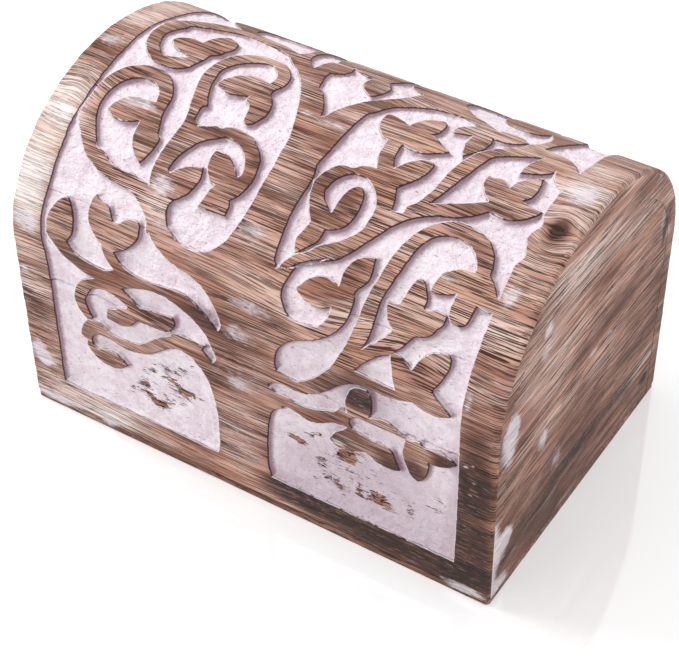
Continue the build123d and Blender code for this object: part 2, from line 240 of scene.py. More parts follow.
        (115.5, 60.2), (113.3, 61.2, 1), (105, 62, 1)]),
    ("keep", "right branch with leaves and a ring", [
        (104, 68, 1), (112.6, 62.5, 1), (114.5, 64), (117, 64.8), (121, 64.9), (126, 65), (129, 66),
        (132, 67.6), (135, 70), (138.5, 73.2), (142, 76.5), (145.5, 78.9), (148.8, 80.4),
        (152.8, 81, 1), (156, 80.6), (160, 80.8), (165, 81.5), (169.6, 83, 1), (173, 82),
        (177, 81.3), (181, 81.7), (184.5, 83.6, 1), (182.3, 85.8), (179, 88.3), (176.8, 90.4),
        (178, 92.8), (179.6, 95.5), (180.8, 98.8), (181.2, 102), (180, 104.7), (177, 104.7),
        (173.5, 103.3), (171, 100.5), (169.4, 97.8), (168.2, 95.2, 1), (166, 96.8), (163.3, 98.2),
        (160.8, 98.6), (163, 100.8), (164.8, 104), (166.2, 106), (169, 107), (171.8, 108.8),
        (173.4, 111.5), (174.6, 113.5), (174.9, 116.8, 1), (171, 116.9), (167.5, 115.9),
        (166.2, 116.4), (166.4, 118.8), (165, 121.6), (163, 124), (161, 124.5), (159.7, 123),
        (158.7, 119), (157.8, 115.2), (156.5, 114.2), (153.2, 113.9, 1), (154, 111), (155.3, 108),
        (158, 105.8, 1), (157.3, 104), (155, 101.2), (152, 98), (149.2, 95.2, 1), (150.4, 98.5),
        (151, 102), (151.2, 106), (151.1, 110), (151.4, 114), (152.6, 119.5), (153.8, 125),
        (155, 131), (156.3, 135), (158.2, 138.2), (161, 140.3), (165, 141.6), (168.5, 141.6),
        (172, 140.5), (174.5, 138.5), (176.5, 135.8), (177.4, 133.2, 1), (174, 132.8), (170.5, 131.3),
        (168, 129.5), (166.8, 127), (166, 124.5), (165.8, 122.2, 1), (168, 121.9), (171.5, 122.8),
        (174.8, 124.2, 1), (174.7, 120), (175.2, 116.4), (177, 115), (180, 114.8), (181.7, 116.2),
        (182.4, 118.5), (182.6, 121), (182.9, 122.9, 1), (185.5, 122.6), (192, 122.8, 1),
        (192, 128, 1), (188, 128.3), (186.3, 130.5), (184.5, 132.3), (182.6, 134, 1), (182.2, 136.8),
        (181, 140), (179, 142.8), (176.5, 144.8), (173, 146.5), (169, 147.5), (165, 147.6),
        (161.5, 146.8), (158, 144.8), (155, 142), (152.5, 138.5), (150.5, 134), (149, 129),
        (147.9, 124), (147.2, 119), (146.2, 114), (145.4, 108.5), (144.8, 103.5), (144, 99),
        (143.2, 95.5), (142, 92), (140.5, 88.8), (139, 85.5), (137.4, 82.5), (135.3, 79.7),
        (133, 76.8), (130, 73.9), (127, 71.5), (124, 69.6), (120, 70.2), (116, 70.7, 1),
        (104, 72, 1)]),
    ("cut", "triangle", [
        (147.4, 86, 1), (155, 85.5), (163.3, 85.1, 1), (161.6, 90), (160.5, 94), (159.7, 97, 1),
        (157.5, 96), (154, 93.5), (150.5, 90)]),
    ("keep", "leaf pair", [
        (131, 96, 1), (133, 98.5), (134.4, 101.5), (134.7, 104.6, 1), (131, 103), (127.5, 102.7),
        (124, 103.5), (121.5, 104.8), (120, 106.1, 1), (121.5, 108.2), (124, 111), (127, 113),
        (130.5, 113.6), (134.8, 112.5, 1), (134.9, 118), (136, 121), (138, 123.2), (141, 124.9),
        (143.8, 125.5, 1), (144.7, 121), (144.6, 118), (143.2, 115.3), (141.2, 112.2), (142, 109.5),
        (142, 106), (141.2, 102), (139.5, 98.5), (137, 95.5), (134, 93), (131.5, 91.3), (126, 90, 1),
        (122, 92, 1)]),
    ("cut", "right scrolls", [
        (110.9, 110, 1), (109.3, 113), (108.8, 118), (108.6, 125), (108.8, 133), (109.3, 139),
        (109.2, 144), (108, 149), (108.7, 155), (109.2, 163), (109.5, 170), (109.9, 175),
        (110.4, 178.4, 1), (112.3, 180), (113.5, 183), (115.5, 186.5), (118.5, 189.5), (122, 192.5),
        (126, 194.9), (130, 196.3), (134, 197), (138, 196.8), (142, 195.7), (150, 194), (158, 193.5),
        (164.9, 194.9, 1), (164.2, 192), (162.5, 189.5), (160, 186.5), (157, 183), (154.5, 179.5),
        (152.8, 176), (151.3, 171), (150.3, 165), (150, 160), (149.5, 155.5), (148.5, 151.5),
        (147, 148.3), (144.9, 146), (144.8, 143.3, 1), (140.8, 142.5, 1), (136, 130), (124, 116)]),
    ("keep", "right ring and its leaves", [
        (111.3, 110.3, 1), (113.2, 113.5), (115.5, 116.5, 1), (114.8, 118.5), (113.9, 121.5),
        (114.6, 124), (115.6, 127), (116, 129, 1), (113.8, 132.5), (111.8, 136.5), (110.6, 140.5),
        (110.4, 143.5), (111.2, 145.5), (112.3, 148), (114.2, 150.8), (116.8, 152.2), (120, 152.4),
        (122, 154.2), (125, 155.3), (127.8, 155.4, 1), (125.8, 159), (124.5, 163), (123.8, 168.7, 1),
        (121.5, 169.5), (119, 171.5), (117, 174.5), (116, 178), (116.2, 181.3), (118.5, 181.8),
        (122.5, 181), (126.3, 179.3, 1), (126.6, 181), (127.5, 184.3), (130, 187), (133, 188.8),
        (135, 189), (136.5, 187), (137, 183), (136.3, 180.2), (135, 178.8, 1), (138, 177.8),
        (141, 176), (145.5, 173.4, 1), (141.5, 170.5), (138, 168.6), (134, 168.2), (130.5, 168.8),
        (129.5, 168.6, 1), (130, 165), (131, 161.5), (133, 158, 1), (134.5, 161), (137, 163.8),
        (140, 165.7), (143, 166.3), (144.4, 165), (144.3, 162), (143.3, 158.5), (141.5, 155.5),
        (139.5, 153.3), (137.8, 151, 1), (139.5, 148), (140.3, 145.3), (140.8, 142, 1), (141.5, 137),
        (139, 131), (134, 124), (127, 119), (120, 115.5), (115, 111, 1)]),
    ("cut", "inside the right ring", [
        (121.8, 134.3, 1), (119, 136), (116.8, 138.5), (115.8, 141), (116.8, 145), (118.5, 148),
        (121, 150), (124, 150.6), (127, 150.3), (130, 148.5), (132.8, 145.8), (134.6, 142.5),
        (135.4, 139), (135.2, 135), (134, 131.5), (131.5, 128.5), (128.5, 126), (125.5, 124),
        (122.6, 122.1), (119.5, 119), (115.3, 116.4, 1), (119.2, 120.3), (122, 123.8), (122.6, 127.8, 1),
        (126, 129.2), (128.8, 131.8), (130, 135), (130.4, 139), (129.8, 142.5), (128.5, 145.3),
        (126.5, 146.6), (124.3, 145.5), (122.6, 142.5), (121.9, 139), (121.9, 136)]),
    ("keep", "upper leaves", [
        (142, 196.4, 1), (144.3, 193.6, 1), (142, 191.5), (140, 188.5), (139.8, 185.9), (141, 184.7),
        (144, 185.4), (146.8, 186.5, 1), (147, 184), (147.2, 181), (148, 178), (149.2, 175.3),
        (150.3, 174, 1), (152, 176.5), (153.8, 179.5), (154.6, 183), (154.5, 186.5), (153.4, 189.4, 1),
        (156, 189.3), (159, 190), (162, 192), (164.4, 194.9, 1), (161.5, 197.5), (150, 199, 1),
        (142, 200, 1)]),
    ("cut", "crown right", [
        (130, 226, 1), (131, 214), (134, 208), (138, 203.4, 1), (141.5, 201.3), (145, 199.9),
        (148.5, 197.9), (152, 196, 1), (155, 197.7), (158, 198.1), (161.5, 197.1), (164.5, 194.9, 1),
        (166.8, 197), (168, 200.5), (168.3, 204), (167.3, 208), (165.5, 211, 1), (163.5, 207.5),
        (160, 205.2), (155, 205.2), (151, 206), (148.8, 207.4, 1), (147, 213), (146, 226, 1)]),
    ("cut", "right pocket", [
        (151.4, 150.2, 1), (153.5, 155), (155, 161), (156.5, 166), (157.3, 170), (158, 173.5),
        (159, 177.5), (160.5, 180), (163.5, 182.3), (167, 184.6), (170.5, 186.9), (173.6, 188.4, 1),
        (180, 186), (186.9, 186, 1), (187.2, 175), (187.3, 166), (187.6, 160.6, 1), (180, 158),
        (170, 156), (160, 152)]),
    ("keep", "leaf pair at the right edge", [
        (151.5, 150.1, 1), (155, 151.5), (158.5, 153.3), (163, 155.4), (166.5, 157.4), (168.6, 158.7, 1),
        (166.8, 160.3), (165, 162), (163.3, 164.5), (162.5, 167), (162.7, 169.8, 1), (165, 169.3),
        (167, 170), (169, 169.6), (171.8, 167.2, 1), (171.9, 168.8), (173, 171.6), (175.5, 174.4),
        (179.2, 177.2, 1), (180.3, 173), (180.8, 169.5), (180.2, 166), (178.6, 163.8, 1), (182, 163),
        (186.6, 162.3, 1), (185.5, 159.8), (183, 157.2), (180, 155.2), (177, 154.3), (173, 154.6),
        (171, 154.9, 1), (168, 152), (164, 149.5), (161.5, 148.2), (157, 147), (153, 145),
        (149, 143, 1), (146, 146, 1)]),
    ("keep", "upper leaf pair at the right edge", [
        (173.6, 188.4, 1), (172.3, 185.8), (171.4, 183), (170.8, 179), (171, 175.8, 1), (174, 177),
        (177.5, 179), (180, 181.5), (180.5, 183.7, 1), (182, 179.3), (184, 176.6), (187.2, 174.2, 1),
        (192, 180, 1), (192, 192, 1), (175, 192, 1)]),
    ("cut", "crown at the right edge", [
        (170.5, 195, 1), (176, 194.6), (180, 193.8), (183, 192), (185.5, 189.5), (187.4, 187, 1),
        (187.8, 195), (187.5, 205), (187.2, 215), (187, 226, 1), (176, 226, 1), (175.5, 213),
        (174, 206), (172, 200)]),
]
MIRROR_ROUND = 216.0      # behind the crown the carving is the front's, turned over this line
BACK_LIMIT = 276.0        # and it stops short of the back seam
CURVE_STEPS = 4           # straight pieces drawn between two points of an outline

# Loose marks of (across, round, half width, half height, strength).
PAINT_SMEARS = [
    (6, 118, 9, 32, 0.42), (98, 28, 9, 12, 0.30), (6, 190, 8, 20, 0.25), (30, 8, 20, 5, 0.22),
    (100, 62, 12, 8, 0.25), (60, 116, 5, 6, 0.35), (192, 185, 8, 18, 0.3), (100, 190, 6, 10, 0.2),
    (5, 26, 4, 6, 1.0), (9, 23, 4, 3, 0.8), (10, 3.6, 14, 2.0, 1.0), (36, 3.4, 4, 1.8, 0.9),
    (6, 90, 6, 3.5, 0.9), (3, 66.5, 2.5, 2, 0.7), (100, 80, 7, 4, 0.55), (104, 93, 9, 2.5, 0.6),
    (98, 118, 6, 4, 0.5), (100, 56, 6, 3, 0.45), (33, 146.5, 9, 2.3, 0.8), (58, 122, 5, 3.5, 0.6),
    (191.5, 64.5, 0.9, 0.45, 0.9), (194, 66, 0.6, 0.4, 0.9), (192, 130, 3, 4, 0.8),
    (193.5, 52, 0.9, 0.4, 0.6), (195, 176, 4, 4, 0.9),
    (193, 3.6, 8, 2.0, 1.0), (190, 92, 1.6, 5, 0.6), (169, 128, 5, 1.2, 0.6), (193, 36, 2, 2, 0.25),
    (195, 58, 1.2, 0.6, 0.5), (103, 166.5, 6, 1.6, 0.6), (92, 167, 4, 1.4, 0.5), (7, 168, 6, 3, 0.5),
    (141, 49, 3, 1.6, 0.7), (110, 164, 2, 1, 0.5), (64, 108, 4, 3, 0.4), (11, 40, 3, 2, 0.3),
]
BARE_PATCHES = [
    (54, 31.5, 3.6, 2.4, 1.0), (53.5, 27.3, 3.2, 1.6, 0.9), (57.5, 27, 2.4, 1.8, 0.9),
    (60.5, 24.4, 4.6, 1.8, 1.5), (64.8, 28, 2.6, 2.2, 0.9), (67, 44.5, 6.5, 1.9, 0.9),
    (72.5, 47.3, 3.6, 1.3, 0.8), (66, 40, 3.2, 1.8, 0.8), (71, 36, 5.0, 3.6, 0.9),
    (77, 36.8, 5, 1.2, 0.8), (57, 39.8, 3.4, 1.6, 0.6), (70.5, 30.2, 1.8, 0.7, 0.7),
    (47.5, 24.6, 2.2, 0.9, 0.6), (48.2, 27.4, 1.6, 0.8, 0.6), (77.6, 51.4, 1, 0.7, 0.7),
    (79.2, 22.3, 1, 0.8, 0.6), (42.5, 31.8, 1.4, 0.6, 0.5),
    (122.5, 39, 4.8, 2.0, 1.3), (131, 46, 3.0, 1.3, 0.9), (128, 44, 2.4, 1.2, 0.7),
    (143.5, 41.6, 4.4, 3.4, 1.5), (132, 32.5, 2.6, 4.0, 0.9), (137.5, 26, 4.2, 2.6, 0.9),
    (141, 23, 3.0, 1.8, 0.8), (130.5, 23.8, 2.6, 1.1, 0.8), (126.5, 24.8, 1.6, 0.6, 0.6),
    (148.2, 27, 1.5, 2.4, 0.9), (153, 24.6, 6.0, 1.0, 0.9), (156, 27.6, 3.6, 2.2, 1.35),
    (160.5, 24.3, 2.6, 1.8, 0.8), (169.5, 27.5, 1.6, 3.2, 0.9), (179, 34.3, 4.5, 1.0, 0.8),
    (180.5, 39.8, 2.4, 1.8, 0.7), (171.5, 42.4, 1.4, 0.8, 0.5), (150.5, 45.2, 2.2, 1.0, 0.7),
    (145.5, 34.8, 2.6, 1.0, 0.6), (144.5, 30.8, 1.2, 1.4, 0.6), (158.3, 45, 0.8, 1.8, 0.7),
    (135.5, 38.6, 2.8, 0.7, 0.5), (136.5, 36.5, 6, 5, 0.28), (62, 36, 12, 8, 0.2), (154, 32, 14, 9, 0.2),
]
# Where the wood is paler (+) or darker (-) than usual: partly its own tone, and partly painted light and
# shade, paler along the left end, where the light falls, and darker low on the right, away from it.
TONE_AND_LIGHT_MARKS = [
    (195, 25, 9, 40, -0.85), (195, 62, 9, 14, -0.55), (165, 6, 45, 10, -0.62), (195, 158, 4, 7, -1.2),
    (197, 150, 6, 12, -0.3),
    (195, 82, 9, 6, -0.35), (184, 61, 6, 4, -0.9), (171, 52, 5, 6, -0.45), (163, 49, 6, 4, -0.35),
    (6, 105, 9, 14, 1.5), (6, 132, 10, 18, 1.4), (20, 130, 10, 14, 0.3), (8, 180, 9, 14, 0.7),
    (150, 78, 14, 10, -0.45), (100, 105, 40, 4, 0.3), (150, 28, 40, 22, -0.72), (140, 68, 30, 12, -0.3),
    (60, 28, 30, 16, 0.05), (97, 60, 14, 18, -0.05),
    (60, 4, 30, 4, 0.15), (120, 12, 22, 5, -0.5),
    (8, 200, 9, 14, 0.9), (8, 78, 9, 9, 0.45), (100, 101, 30, 6, 0.45), (100, 83, 14, 8, -0.25),
    (25, 9, 26, 6, 1.0), (100, 30, 10, 18, 0.4), (8, 62, 8, 8, 0.4),
    (45, 100, 14, 9, 0.5), (62, 112, 8, 7, 0.4), (195, 177, 9, 14, 0.6), (195, 200, 9, 14, 0.35),
    (100, 145, 9, 20, 0.3), (100, 32, 12, 16, 0.25), (75, 65, 10, 2.5, 0.35), (153, 66, 12, 2.6, 0.45),
    (83, 81, 8, 3.5, -0.55),
    (47, 60.5, 6, 2.5, -0.45), (64, 72.5, 8, 2.5, -0.45), (88, 143, 4, 4, -0.6), (38, 159, 8, 4, -0.35),
    (65, 165, 5, 1.6, -0.5), (125, 140, 4, 8, -0.35), (139, 119, 5, 6, -0.3), (150, 74, 5, 6, -0.25),
    (172, 182, 34, 17, 0.5), (195, 140, 9, 20, 0.65), (195, 100, 9, 10, -0.2), (6, 32, 8, 18, -0.25),
]
# Knots and arches in the grain: across, round, half-width, half-height, how far the streaks part
# round it, and how far they are lifted over it.
KNOTS = [
    (195, 158, 6, 8, 0.9, 0.0), (167, 99, 20, 9, 0.4, 3.5), (123, 103, 26, 10, 0.3, -3.0),
    (51, 73, 16, 8, 0.5, 2.0), (8, 140, 9, 12, 0.4, 2.0), (100, 190, 22, 12, 0.5, 3.0),
]
# Where the ground is cut less deep.
SHALLOWS = [
    (13, 145, 7, 60, 0.45), (100, 218, 140, 40, 0.40), (13, 60, 5, 40, 0.2),
]
END_PAINT = [
    (-58, 74, 5.5, 10, 1.0), (-56, 80, 4, 5, 0.9), (-61, 25, 6.5, 7, 1.0), (-56.5, 27, 4.5, 4, 0.9),
    (-64.5, 33, 2, 9, 0.9), (-63.5, 13, 2.6, 9, 1.0), (-60, 5, 7, 4.5, 0.9), (-35, 107, 3.4, 3, 0.8),
    (-36, 98, 4.5, 3.5, 0.55), (-33, 55, 3.6, 4.5, 0.75), (-20, 35, 3.5, 5.5, 0.5), (3, 67, 4, 2, 0.6),
    (15, 66.5, 4, 1.6, 0.45), (4, 128, 8, 3.2, 0.6), (6, 123, 8, 1.6, 0.5), (46, 115, 3, 5, 0.5),
    (54, 92, 2, 8, 0.5), (60, 83, 2.6, 2.6, 0.6), (-35, 69, 3, 2, 0.4), (-48, 92, 2, 4, 0.35),
]
END_TONES = [
    (-58, 92, 8, 9, -0.25), (0, 18, 70, 20, -0.3), (30, 45, 40, 8, -0.15), (54, 14, 3, 2, -1.0),
    (6, 121, 10, 1.2, -0.7), (56, 90, 2, 9, -0.9), (-30, 62, 40, 2.5, 0.25), (0, 61, 60, 3, 0.3),
    (10, 25, 30, 3, -0.3), (20, 74, 60, 5, -0.15), (-10, 112, 60, 26, 0.6), (54, 19, 10, 8, 0.35),
    (0, 1.6, 70, 2, -0.7),
]


def smooth_outline(points):
    """Closed curve through the points: cubic Hermite pieces with the slopes of their neighbours,
    and straight slopes on both sides of a corner."""
    at = np.array([p[:2] for p in points], float)
    corner = np.array([len(p) > 2 for p in points])
    after = np.roll(at, -1, axis=0)
    before = np.roll(at, 1, axis=0)
    slope = (after - before) / 2
    leave = np.where(corner[:, None], after - at, slope)
    arrive = np.roll(np.where(corner[:, None], at - before, slope), -1, axis=0)
    t = (np.arange(CURVE_STEPS) / CURVE_STEPS)[None, :, None]
    h00 = 2 * t**3 - 3 * t**2 + 1
    h10 = t**3 - 2 * t**2 + t
    h01 = -2 * t**3 + 3 * t**2
    h11 = t**3 - t**2
    curve = h00 * at[:, None] + h10 * leave[:, None] + h01 * after[:, None] + h11 * arrive[:, None]
    return curve.reshape(-1, 2)


def inside_distance(across, around, loop):
    """Distance to a closed loop of straight pieces: positive inside it, negative outside."""
    nearest = np.full(across.shape, np.inf)
    inside = np.zeros(across.shape, bool)
    ends = np.roll(loop, -1, axis=0)
    for (ax, ay), (bx, by) in zip(loop, ends):
        dx, dy = bx - ax, by - ay
        long = dx * dx + dy * dy
        if long < 1e-12:
            continue
        px, py = across - ax, around - ay
        along = np.clip((px * dx + py * dy) / long, 0, 1)
        nearest = np.minimum(nearest, (px - along * dx) ** 2 + (py - along * dy) ** 2)
        if ay != by:
            crosses = (ay > around) != (by > around)
            inside ^= crosses & (px < dx * py / dy)
    return np.where(inside, 1, -1) * np.sqrt(nearest)


def carving_distance(across, around):
    """How far each place lies inside the painted ground, in millimetres; negative on standing wood."""
    folded = np.minimum(around, 2 * MIRROR_ROUND - around)
    ground = np.full(across.shape, -FAR)
    for kind, _, points in CARVING:
        loop = smooth_outline(points)
        low, high = loop.min(axis=0) - FAR, loop.max(axis=0) + FAR
        near = (across > low[0]) & (across < high[0]) & (folded > low[1]) & (folded < high[1])
        if not near.any():
            continue
        here = inside_distance(across[near], folded[near], loop)
        if kind == "cut":
            ground[near] = np.maximum(ground[near], here)
        else:
            ground[near] = np.minimum(ground[near], -here)
    ground = np.minimum(ground, BACK_LIMIT - around)
    nicks = sum(NICK * value_noise(across / width, around / width, seed) for width, seed in NICK_SIZES)
    return np.clip(ground + nicks, -FAR, FAR)


def carving_slope(across, around, carve):
    """How fast the distance from the carving's lines grows across the board and round it."""
    slope_x = np.gradient(carve, axis=0) / np.maximum(np.gradient(across, axis=0), SMALLEST_STEP)
    slope_y = np.gradient(carve, axis=1) / np.maximum(np.gradient(around, axis=1), SMALLEST_STEP)
    return slope_x, slope_y


def lee_side(across, around, carve):
    """1 on walls that face right or down the front, away from the light, and -1 on those facing it."""
    rise_x, rise_y = carving_slope(across, around, carve)
    size = np.maximum(np.hypot(rise_x, rise_y), LEAST_RISE)
    return np.clip((LEE_ACROSS * rise_x + LEE_ROUND * rise_y) / size, -1, 1)


LEE_ACROSS, LEE_ROUND = 0.90, -0.30             # the light comes from the left and from above
LEAST_RISE = 0.2          # flat ground has no lee
SMALLEST_STEP = 1e-6      # keeps a slope from being divided by nothing
FAR = 4.0                 # distances from a line are only kept up to this, in millimetres
END_GRAIN_LIFT = 400.0    # takes the grain of the ends far from that of the sides
END_TONE = -0.3           # the ends as a whole
HOLLOW_WIDTH = 3.0        # the ground goes on sinking this far from the top of a wall
STEEP_SHARE = 0.55        # part of the depth that is the steep wall
EDGE_WEAR = 0.5           # standing wood is worn back this far from the top of a wall
WOOD_WORN = 0.14          # and this deep at most
SHALLOWEST = 0.6          # most of the depth that a shallow place may lose
NICK = 0.13               # the knife strays this far from its line
NICK_SIZES = [(1.5, 11), (4.0, 12)]             # over these lengths, with these seeds
GOUGE_START = 0.3         # the tool marks begin this far from the top of a wall
GOUGE_LONG = 1.2          # they are longer down the front than across it
SIDE_GRAIN = [(0.035, 11.0, 1.3, 6), (0.03, 30.0, 7.0, 7)]      # depth, length, width and seed
END_GRAIN = [(0.05, 14.0, 1.5, 21), (0.05, 25.0, 9.0, 22)]
GOUGE_MARKS = [           # amount, width and seed of each size of tool mark on the ground
    (0.24, 7.0, 5),
    (0.34, 2.7, 3),
    (0.28, 1.35, 4),
]


def marks(across, around, table):
    """Sum of soft round marks: each has its full strength out to half of its size, and fades evenly
    to nothing at one and a half times it."""
    total = np.zeros(across.shape)
    for x, y, half_w, half_h, strength in table:
        reach = np.hypot((across - x) / half_w, (around - y) / half_h)
        total += strength * np.clip(1.5 - reach, 0, 1)
    return total


LATTICE = 256             # the random numbers repeat after this many


def value_noise(x, y, seed):
    """Smooth random field of about -1 to 1: random numbers on a unit lattice, blended between."""
    rng = np.random.default_rng(seed)
    lattice = rng.uniform(-1, 1, (LATTICE, LATTICE))
    xi, yi = np.floor(x).astype(int), np.floor(y).astype(int)
    fx, fy = x - xi, y - yi
    fx, fy = fx * fx * (3 - 2 * fx), fy * fy * (3 - 2 * fy)
    a = lattice[xi % LATTICE, yi % LATTICE]
    b = lattice[(xi + 1) % LATTICE, yi % LATTICE]
    c = lattice[xi % LATTICE, (yi + 1) % LATTICE]
    d = lattice[(xi + 1) % LATTICE, (yi + 1) % LATTICE]
    return (a * (1 - fx) + b * fx) * (1 - fy) + (c * (1 - fx) + d * fx) * fy


# ---- surfaces --------------------------------------------------------------------------
def outside(around):
    """Point (y, z) and outward direction on the outside of the box, so far round from the front foot."""
    on_dome = np.clip(around - SPRING, 0, DOME_LENGTH)
    angle = np.interp(on_dome, DOME_WALKED, DOME_ANGLE)
    y = -HALF_DEPTH * np.cos(angle)
    z = SPRING + RISE * np.sin(angle)
    z = np.where(around < SPRING, around, z)
    z = np.where(around > SPRING + DOME_LENGTH, GIRTH - around, z)
    ny, nz = -np.cos(angle) / HALF_DEPTH, np.sin(angle) / RISE
    size = np.hypot(ny, nz)
    return y, z, ny / size, nz / size


def inside_wall(y, z):
    """The point of the inner wall behind an outside point: level with it below the spring of the
    dome, and on the line to the dome's centre above it."""
    up = np.maximum(z - SPRING, 0)
    shrink = 1 / np.hypot(y / INNER_Y, up / INNER_RISE)
    level = z <= SPRING
    return np.where(level, np.sign(y) * INNER_Y, y * shrink), np.where(level, z, SPRING + up * shrink)


SHARPEST_SMOOTH = 40.0    # degrees between two faces that are shaded as one surface


def new_mesh(name, points, faces, values, material, body, nodes, end_faces=(0, 0), end_values=None):
    """Object from points in millimetres, riding on its body.

    The values are given per point and kept per corner, so that the faces from end_faces on, which
    must be quads after quads, can have values of their own at the points they share.
    """
    mesh = bpy.data.meshes.new(name)
    mesh.from_pydata((np.asarray(points) * MM).tolist(), [], faces)
    mesh.validate()
    at = np.empty(len(mesh.loops), np.int32)
    mesh.loops.foreach_get("vertex_index", at)
    ends = slice(4 * end_faces[0], 4 * end_faces[1])
    for key, data in values.items():
        data = np.asarray(data, np.float32)[at]
        if end_values:
            data[ends] = np.asarray(end_values[key], np.float32)[at[ends]]
        kind, field = ("FLOAT_VECTOR", "vector") if data.ndim == 2 else ("FLOAT", "value")
        layer = mesh.attributes.new(key, kind, "CORNER")
        layer.data.foreach_set(field, data.ravel())
    mesh.materials.append(material)
    mesh.shade_smooth()
    mesh.set_sharp_from_angle(angle=math.radians(SHARPEST_SMOOTH))
    mesh.update()
    piece = bpy.data.objects.new(name, mesh)
    bpy.context.scene.collection.objects.link(piece)
    if nodes:
        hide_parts(*nodes)
    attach(piece, body)
    return piece


ROUND_REACH = 3           # the columns are close together over this many radii from an end
ROUND_ANGLES = np.radians([11, 22, 33, 44, 55, 65, 74, 82, 90])
EDGE_ROWS = np.array([0.12, 0.3])               # extra rows this far in from a board's edge


def columns(cell, radius):
    """Places along the box, finer where its ends are rounded off."""
    flat = HALF_LENGTH - ROUND_REACH * radius
    count = int(round(2 * flat / cell))
    middle = np.linspace(-flat, flat, count + 1)
    rounded = flat + ROUND_REACH * radius * np.sin(ROUND_ANGLES)
    return np.concatenate([-rounded[::-1], middle, rounded])


def rows(start, end, cell, extra=()):
    """Places round the box, evenly spaced, with extra pairs where a mortise starts and stops."""
    count = int(round((end - start) / cell))
    even = np.linspace(start, end, count + 1)
    return np.unique(np.round(np.concatenate([even, start + EDGE_ROWS, end - EDGE_ROWS, list(extra)]), 4))


SNAP_WITHIN = 0.5                               # of a cell: how near a line a point must be
SNAP_ACROSS, SNAP_ROUND = 0.6, 0.45             # of a cell: the most a point moves each way
STILL_COLUMNS, STILL_ROWS = 8, 4                # those at the edges of a board stay where they are
LEAST_SLOPE = 0.3


def snap_to_lines(across, around, carve, cell, wall):
    """Move grid points that lie within half a cell of the top or the foot of a carved wall onto it,
    so that the wall is crisp on a square grid."""
    slope_x, slope_y = carving_slope(across, around, carve)
    slope = np.maximum(np.hypot(slope_x, slope_y), LEAST_SLOPE)
    move_x, move_y = slope_x / slope**2, slope_y / slope**2
    for line in (0.0, wall):
        gap = line - carve
        hit = np.abs(gap) < SNAP_WITHIN * cell
        hit[:STILL_COLUMNS] = False
        hit[-STILL_COLUMNS:] = False
        shift = np.clip(gap * move_x, -SNAP_ACROSS * cell, SNAP_ACROSS * cell)
        across = np.where(hit, across + shift, across)
        shift = np.clip(gap * move_y, -SNAP_ROUND * cell, SNAP_ROUND * cell)
        shift[:, :STILL_ROWS] = 0
        shift[:, -STILL_ROWS:] = 0
        around = np.where(hit, around + shift, around)
        carve = np.where(hit, line, carve)
    return across, around, carve


def unevenness(along, over, table):
    """Depth of sanded wood: long shallow hollows along the grain, of the sizes in a table."""
    return sum(deep * (1 + value_noise(along / long, over / wide, seed)) for deep, long, wide, seed in table)


def relief_depth(across, around, carve, sizes):
    """Depth below the plain board: a steep wall that bends into a hollowed ground marked by the gouge,
    and standing wood that is a little uneven and breaks at its edges."""
    wall = sizes.wall_width / MM
    deep = sizes.relief_depth / MM * (1 - np.clip(marks(across, around, SHALLOWS), 0, SHALLOWEST))
    steep = np.clip(carve / wall, 0, 1)
    hollow = np.clip(carve / HOLLOW_WIDTH, 0, 1)
    drop = STEEP_SHARE * steep + (1 - STEEP_SHARE) * hollow * (2 - hollow)
    gouge = sum(
        amount * value_noise(across / width, around / (GOUGE_LONG * width), seed)
        for amount, width, seed in GOUGE_MARKS)
    ground = drop * deep + np.clip(carve - GOUGE_START, 0, 1) * gouge
    worn = np.clip(1 + carve / EDGE_WEAR, 0, 1) ** 2 * WOOD_WORN
    wood = np.where(carve < 0, worn, WOOD_WORN) + unevenness(across, around, SIDE_GRAIN) * (1 - steep)
    return np.maximum(ground, 0) + wood


def round_over(distance, radius):
    """Depth of a rounded edge, by distance from the edge of the board."""
    inner = np.clip(radius - distance, 0, radius)
    return radius - np.sqrt(np.maximum(radius**2 - inner**2, 0))


def streak_place(across, around):
    """Which streak of the grain is here: straight ones, parted round each knot and lifted over it.

    Both fade away from the knot's middle as a Gaussian of the distance.
    """
    place = around * 1.0
    for middle, height, wide, high, parted, lifted in KNOTS:
        near = np.exp(-(((across - middle) / wide) ** 2) - ((around - height) / high) ** 2)
        place -= near * (parted * (around - height) + lifted)
    return place


def grid_quads(index):
    """Faces of a grid of point numbers, facing out where the first axis runs right of the second."""
    quads = np.stack([index[:-1, :-1], index[1:, :-1], index[1:, 1:], index[:-1, 1:]], axis=-1)
    return quads.reshape(-1, 4)


MORTISE_LIP = 0.02        # a mortise's wall is this thick on the grid
RUBBED_ROUND = 98.0       # the right end is rubbed down most this far round
RUBBED_WIDE = 22.0        # and less and less over this length either way
RUBBED_MORE = 1.8         # by this many times the usual rounding
END_WEAR = [(0.45, 6.0, 3, 8), (0.3, 2.1, 1, 9)]        # amount, length, place and seed
LEAST_WORN, MOST_WORN = 0.3, 2                  # times the usual rounding
BARE_EDGE = 0.02          # the rounding always goes this deep, so that the end stays a clean line
SEAM_EDGE, SEAM_WEAR = 0.5, 0.2                 # rounding of an open edge, and how much it varies
SEAM_WEAR_LENGTH = 5.0
GLUE_EDGE = 0.18          # rounding of an edge that is glued to the next board
BENT_WITH_END = 0.9       # a rounded end hardly cuts across the streaks


